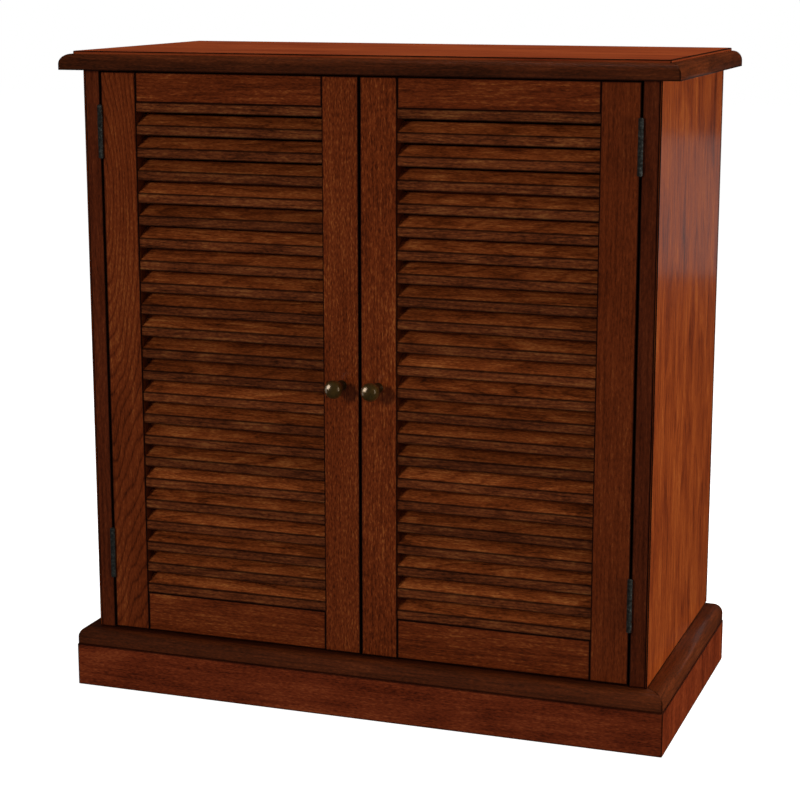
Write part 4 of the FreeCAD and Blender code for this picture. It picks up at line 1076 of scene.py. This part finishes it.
# Polished after the patina, so it is smooth, with brown showing in spots of 11 mm that hands
# have rubbed, under a clear coat
knob_bronze, tree, shader, _ = cloudy(
    "oil_rubbed_bronze", [(0.32, "55421f"), (0.55, "684e24"), (0.78, "86602c")], 90.0, 4.0,
    rough=(0.24, 0.34), metallic=0.6, soften=0.6)
patina = shader.inputs["Base Color"].links[0].from_socket
# The neck and foot are darkened towards the door: painted shade for the ball's shadow on them
back = add_node(tree, "ShaderNodeSeparateXYZ",
                {0: add_node(tree, "ShaderNodeTexCoord").outputs["Object"]}).outputs["Y"]
door_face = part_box("left_knob")[1].y
painted_neck_shade = add_node(tree, "ShaderNodeMapRange",
                    {"Value": back, "From Min": door_face - 0.014, "From Max": door_face - 0.009,
                     "To Min": 1.0, "To Max": 0.3}).outputs[0]
patina_with_neck_shade = add_node(tree, "ShaderNodeVectorMath", {0: patina, "Scale": painted_neck_shade},
                operation="SCALE").outputs[0]
tree.links.new(patina_with_neck_shade, shader.inputs["Base Color"])
shader.inputs["Coat Weight"].default_value = 1.0
shader.inputs["Coat Roughness"].default_value = 0.2

for side in ("left", "right"):
    low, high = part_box(f"{side}_knob")
    middle = (low + high) / 2
    ball = (high.x - low.x) / 2
    long = high.y - low.y
    neck, foot = ball * 0.354, ball * 0.5625
    profile = [(0, 0), (foot * 0.96, 0), (foot, 0.0005), (foot, 0.0016), (foot * 0.94, 0.0024),
               (neck * 1.25, 0.0036), (neck * 1.04, 0.0055), (neck, 0.0075), (neck * 1.06, 0.0100)]
    deep = ball * BALL_FLAT
    rim = long - deep
    for step in range(2, BALL_STEPS):
        turn = math.pi * (1 - step / BALL_STEPS)
        radius, height = ball * math.sin(turn), rim + deep * math.cos(turn)
        if height > NECK_LENGTH:
            profile.append((radius, height))
    profile.append((0, long))
    fit(f"{side}_knob_turned", turned(profile, (middle.x, high.y, middle.z), (0, -1, 0), 48),
        knob_bronze, f"{side}_door", "knob_bronze", f"{side}_knob", smooth=40)

    low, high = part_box(f"{side}_knob_screw")
    middle = (low + high) / 2
    head, long = (high.x - low.x) / 2, high.y - low.y
    screw = turned([(0, 0), (head * 0.28, 0), (head * 0.28, 0.0005), (head * 0.5, 0.0001),
                    (head * 0.86, 0.0006), (head, 0.0013), (head, 0.0016), (0.002, 0.0016),
                    (0.002, long - 0.001), (0.0014, long), (0, long)],
                   (middle.x, high.y, middle.z), (0, -1, 0), 24)
    fit(f"{side}_knob_screw_turned", screw, screw_steel, f"{side}_door", "screw_steel",
        f"{side}_knob_screw", smooth=35)

# ---------------------------------------------------------------- catches and strike plates
# Magnetic catches in moulded brown plastic are screwed under the front stretcher, and a small
# steel plate on the back of each door meets the magnet's poles.

MOULDED_EASING = 0.0004
PRESSED_EASING = 0.0002

# Injection-moulded ABS: a soft sheen over a spark-eroded grain of half a millimetre
catch_plastic, tree, shader, spark = cloudy("moulded_brown_plastic",
                                            [(0.3, "3a2114"), (0.7, "4a2c1c")], 1800.0, 2.0)
tree.links.new(add_node(tree, "ShaderNodeBump",
                        {"Height": spark, "Strength": 0.3, "Distance": 0.0001}).outputs[0],
               shader.inputs["Normal"])
shader.inputs["Roughness"].default_value = 0.45

shape = merged_copy("catch_housings")
bmesh.ops.dissolve_limit(shape, angle_limit=math.radians(1), verts=shape.verts, edges=shape.edges)
long_edges = [edge for edge in shape.edges
              if edge.calc_length() > 0.004 and edge.calc_face_angle(0) > math.radians(80)]
ease(shape, long_edges, MOULDED_EASING)
fit("catch_housing_pair", shape, catch_plastic, "cabinet", "catch_plastic", "catch_housings")

# Ground flat across the poles: dull steel with scratches 0.4 mm apart along the grind
magnet_steel, tree, shader = new_finish("ground_magnet_poles")
coords = add_node(tree, "ShaderNodeMapping",
                  {"Vector": add_node(tree, "ShaderNodeTexCoord").outputs["Object"],
                   "Scale": (120.0, 120.0, 2600.0)}).outputs[0]
scratch = add_node(tree, "ShaderNodeTexNoise", {"Vector": coords, "Scale": 1.0}).outputs["Fac"]
shade = add_node(tree, "ShaderNodeValToRGB", {0: scratch})
set_ramp(shade, [(0.35, linear("5c5a57")), (0.65, linear("8b8884"))])
tree.links.new(shade.outputs["Color"], shader.inputs["Base Color"])
shader.inputs["Metallic"].default_value = 1.0
shader.inputs["Roughness"].default_value = 0.38
frame["nodes"]["catch_magnets"].data.materials.clear()
frame["nodes"]["catch_magnets"].data.materials.append(magnet_steel)

fit_screws("catch_screws", head_points("catch_screws", (0, 0, -1)), "cabinet", 0.001)
for side in ("left", "right"):
    low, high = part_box(f"{side}_strike_plate")
    fit(f"{side}_strike_plate_pressed", eased_block(low, high, PRESSED_EASING), plated_steel,
        f"{side}_door", "plated_steel", f"{side}_strike_plate")
    fit_screws(f"{side}_strike_screw", head_points(f"{side}_strike_screw", (0, 1, 0)),
               f"{side}_door", 0.001)

# ---------------------------------------------------------------- door bumpers
# Small domes of clear-grey rubber are stuck to the back of each door near the meeting edge, and
# soften its closing.

# Cast polyurethane: smooth and slightly cloudy, with a little bloom in spots of 2 mm
bumper_rubber, tree, shader, _ = cloudy("soft_grey_rubber",
                                        [(0.3, "8d8a84"), (0.7, "a8a49c")], 500.0, 2.0,
                                        rough=(0.4, 0.6))
shader.inputs["IOR"].default_value = 1.47

for side in ("left", "right"):
    node = f"{side}_door_bumpers"
    low, high = loose_parts(node)[0]
    across, tall = (high.x - low.x) / 2, high.y - low.y
    dome = turned([(0, 0), (across, 0), (across, tall * 0.25), (across * 0.93, tall * 0.55),
                   (across * 0.72, tall * 0.82), (across * 0.4, tall * 0.96), (0, tall)],
                  (0, 0, 0), (0, 0, 1), 20)
    seats = [(place - Vector((0, tall, 0)), way) for place, way in head_points(node, (0, 1, 0))]
    domes = set_out_copies(node, dome, seats, bumper_rubber)
    fit(f"{node}_set", domes, bumper_rubber, f"{side}_door", "bumper_rubber", node, smooth=40)

# ---------------------------------------------------------------- floor, light and camera
# A white acrylic sweep lit from below makes a plain pale floor in a white room. The key light is
# a soft box low at the front left; a stronger one stands to the right and one hangs overhead,
# and a small panel behind the cabinet is there only for the lacquer of the side to mirror.

FLOOR_HALF = 12.0
FLOOR_LEVEL = -0.0005

mesh = bpy.data.meshes.new("floor")
mesh.from_pydata([(x * FLOOR_HALF, y * FLOOR_HALF, FLOOR_LEVEL)
                  for x, y in ((-1, -1), (1, -1), (1, 1), (-1, 1))], [], [(0, 1, 2, 3)])
floor = bpy.data.objects.new("floor", mesh)
bpy.context.scene.collection.objects.link(floor)
# Matt opal acrylic that glows evenly, with the faintest unevenness in spots of 25 mm
white_sweep, tree, shader, _ = cloudy("backlit_white_acrylic",
                                      [(0.3, "e2e2e2"), (0.7, "e6e6e6")], 40.0, 2.0)
shader.inputs["Roughness"].default_value = 0.9
shader.inputs["Specular IOR Level"].default_value = 0.0
shader.inputs["Emission Color"].default_value = (1, 1, 1, 1)
shader.inputs["Emission Strength"].default_value = 0.88
mesh.materials.append(white_sweep)
floor.visible_diffuse = False
floor.visible_glossy = False

scene = bpy.context.scene
scene.view_settings.view_transform = "Standard"
scene.view_settings.look = "None"
world = bpy.data.worlds.new("white_room")
scene.world = world
world.use_nodes = True
tree = world.node_tree
tree.nodes.clear()
backdrop = add_node(tree, "ShaderNodeBackground", {"Color": (1, 1, 1, 1), "Strength": 1.0})
mirrored_room = add_node(tree, "ShaderNodeBackground", {"Color": (1, 1, 1, 1), "Strength": 0.008})
room = add_node(tree, "ShaderNodeBackground", {"Color": (1, 0.99, 0.97, 1), "Strength": 0.16})
path = add_node(tree, "ShaderNodeLightPath")
unseen = add_node(tree, "ShaderNodeMixShader",
                  {0: path.outputs["Is Glossy Ray"], 1: room.outputs[0],
                   2: mirrored_room.outputs[0]})
choice = add_node(tree, "ShaderNodeMixShader",
                  {0: path.outputs["Is Camera Ray"], 1: unseen.outputs[0], 2: backdrop.outputs[0]})
add_node(tree, "ShaderNodeOutputWorld", {"Surface": choice.outputs[0]})

# Each light's place, what it aims at, its width and height, its watts and its colour
KNOBS_AT = (0.0, -0.2, 0.44)
LIGHTS = {
    "key_softbox": ((-0.98, -3.05, 1.27), (0.0, -0.17, 0.45), (0.5, 0.5), 28.0, (1, 1, 1)),
    "right_softbox": ((2.7, -0.3, 0.50), (0.38, 0.05, 0.30), (1.2, 1.0), 46.0, (1, 1, 1)),
    "overhead_softbox": ((0.3, 0.6, 2.9), (0.1, 0.1, 0.85), (1.4, 1.4), 53.0, (1, 1, 1)),
    "mirrored_panel": ((0.80, 1.76, 0.46), (0.38, 0.0, 0.46), (1.2, 0.30), 0.20, (0.5, 0.9, 1)),
    "knob_box": ((-2.1, -1.6, 1.6), KNOBS_AT, (1.8, 1.8), 60.0, (1, 0.98, 0.98)),
    "knob_left_panel": ((-2.6, -0.2, 0.4), KNOBS_AT, (2.0, 2.4), 12.0, (1, 0.93, 0.94)),
    "knob_right_panel": ((2.4, -0.75, 0.9), KNOBS_AT, (0.35, 1.6), 5.0, (1, 0.95, 0.9)),
}
# Softboxes light the surfaces and are not mirrored; the others are only mirrored, and those
# named for the knobs are flagged off everything else
knobs = bpy.data.collections.new("knobs")
for side in ("left", "right"):
    knobs.objects.link(bpy.data.objects[f"{side}_knob_turned"])
for name, (spot, target, (wide, tall), watts, colour) in LIGHTS.items():
    lamp = bpy.data.lights.new(name, "AREA")
    lamp.shape, lamp.size, lamp.size_y, lamp.energy = "RECTANGLE", wide, tall, watts
    lamp.color = colour
    holder = bpy.data.objects.new(name, lamp)
    bpy.context.scene.collection.objects.link(holder)
    holder.location = spot
    aim = Vector(target) - Vector(spot)
    holder.rotation_euler = aim.to_track_quat("-Z", "Y").to_euler()
    holder.visible_diffuse = name.endswith("softbox")
    holder.visible_glossy = not name.endswith("softbox")
    if name.startswith("knob"):
        holder.light_linking.receiver_collection = knobs

# A long lens a little above the top, from the cabinet's right
lens = bpy.data.cameras.new("camera")
lens.lens, lens.sensor_width = 92.22, 36.0
camera = bpy.data.objects.new("camera", lens)
bpy.context.scene.collection.objects.link(camera)
camera.location = (0.8997, -2.5645, 0.9645)
camera.rotation_euler = (math.radians(90 - 11.97), 0, math.radians(19.46))
scene.camera = camera
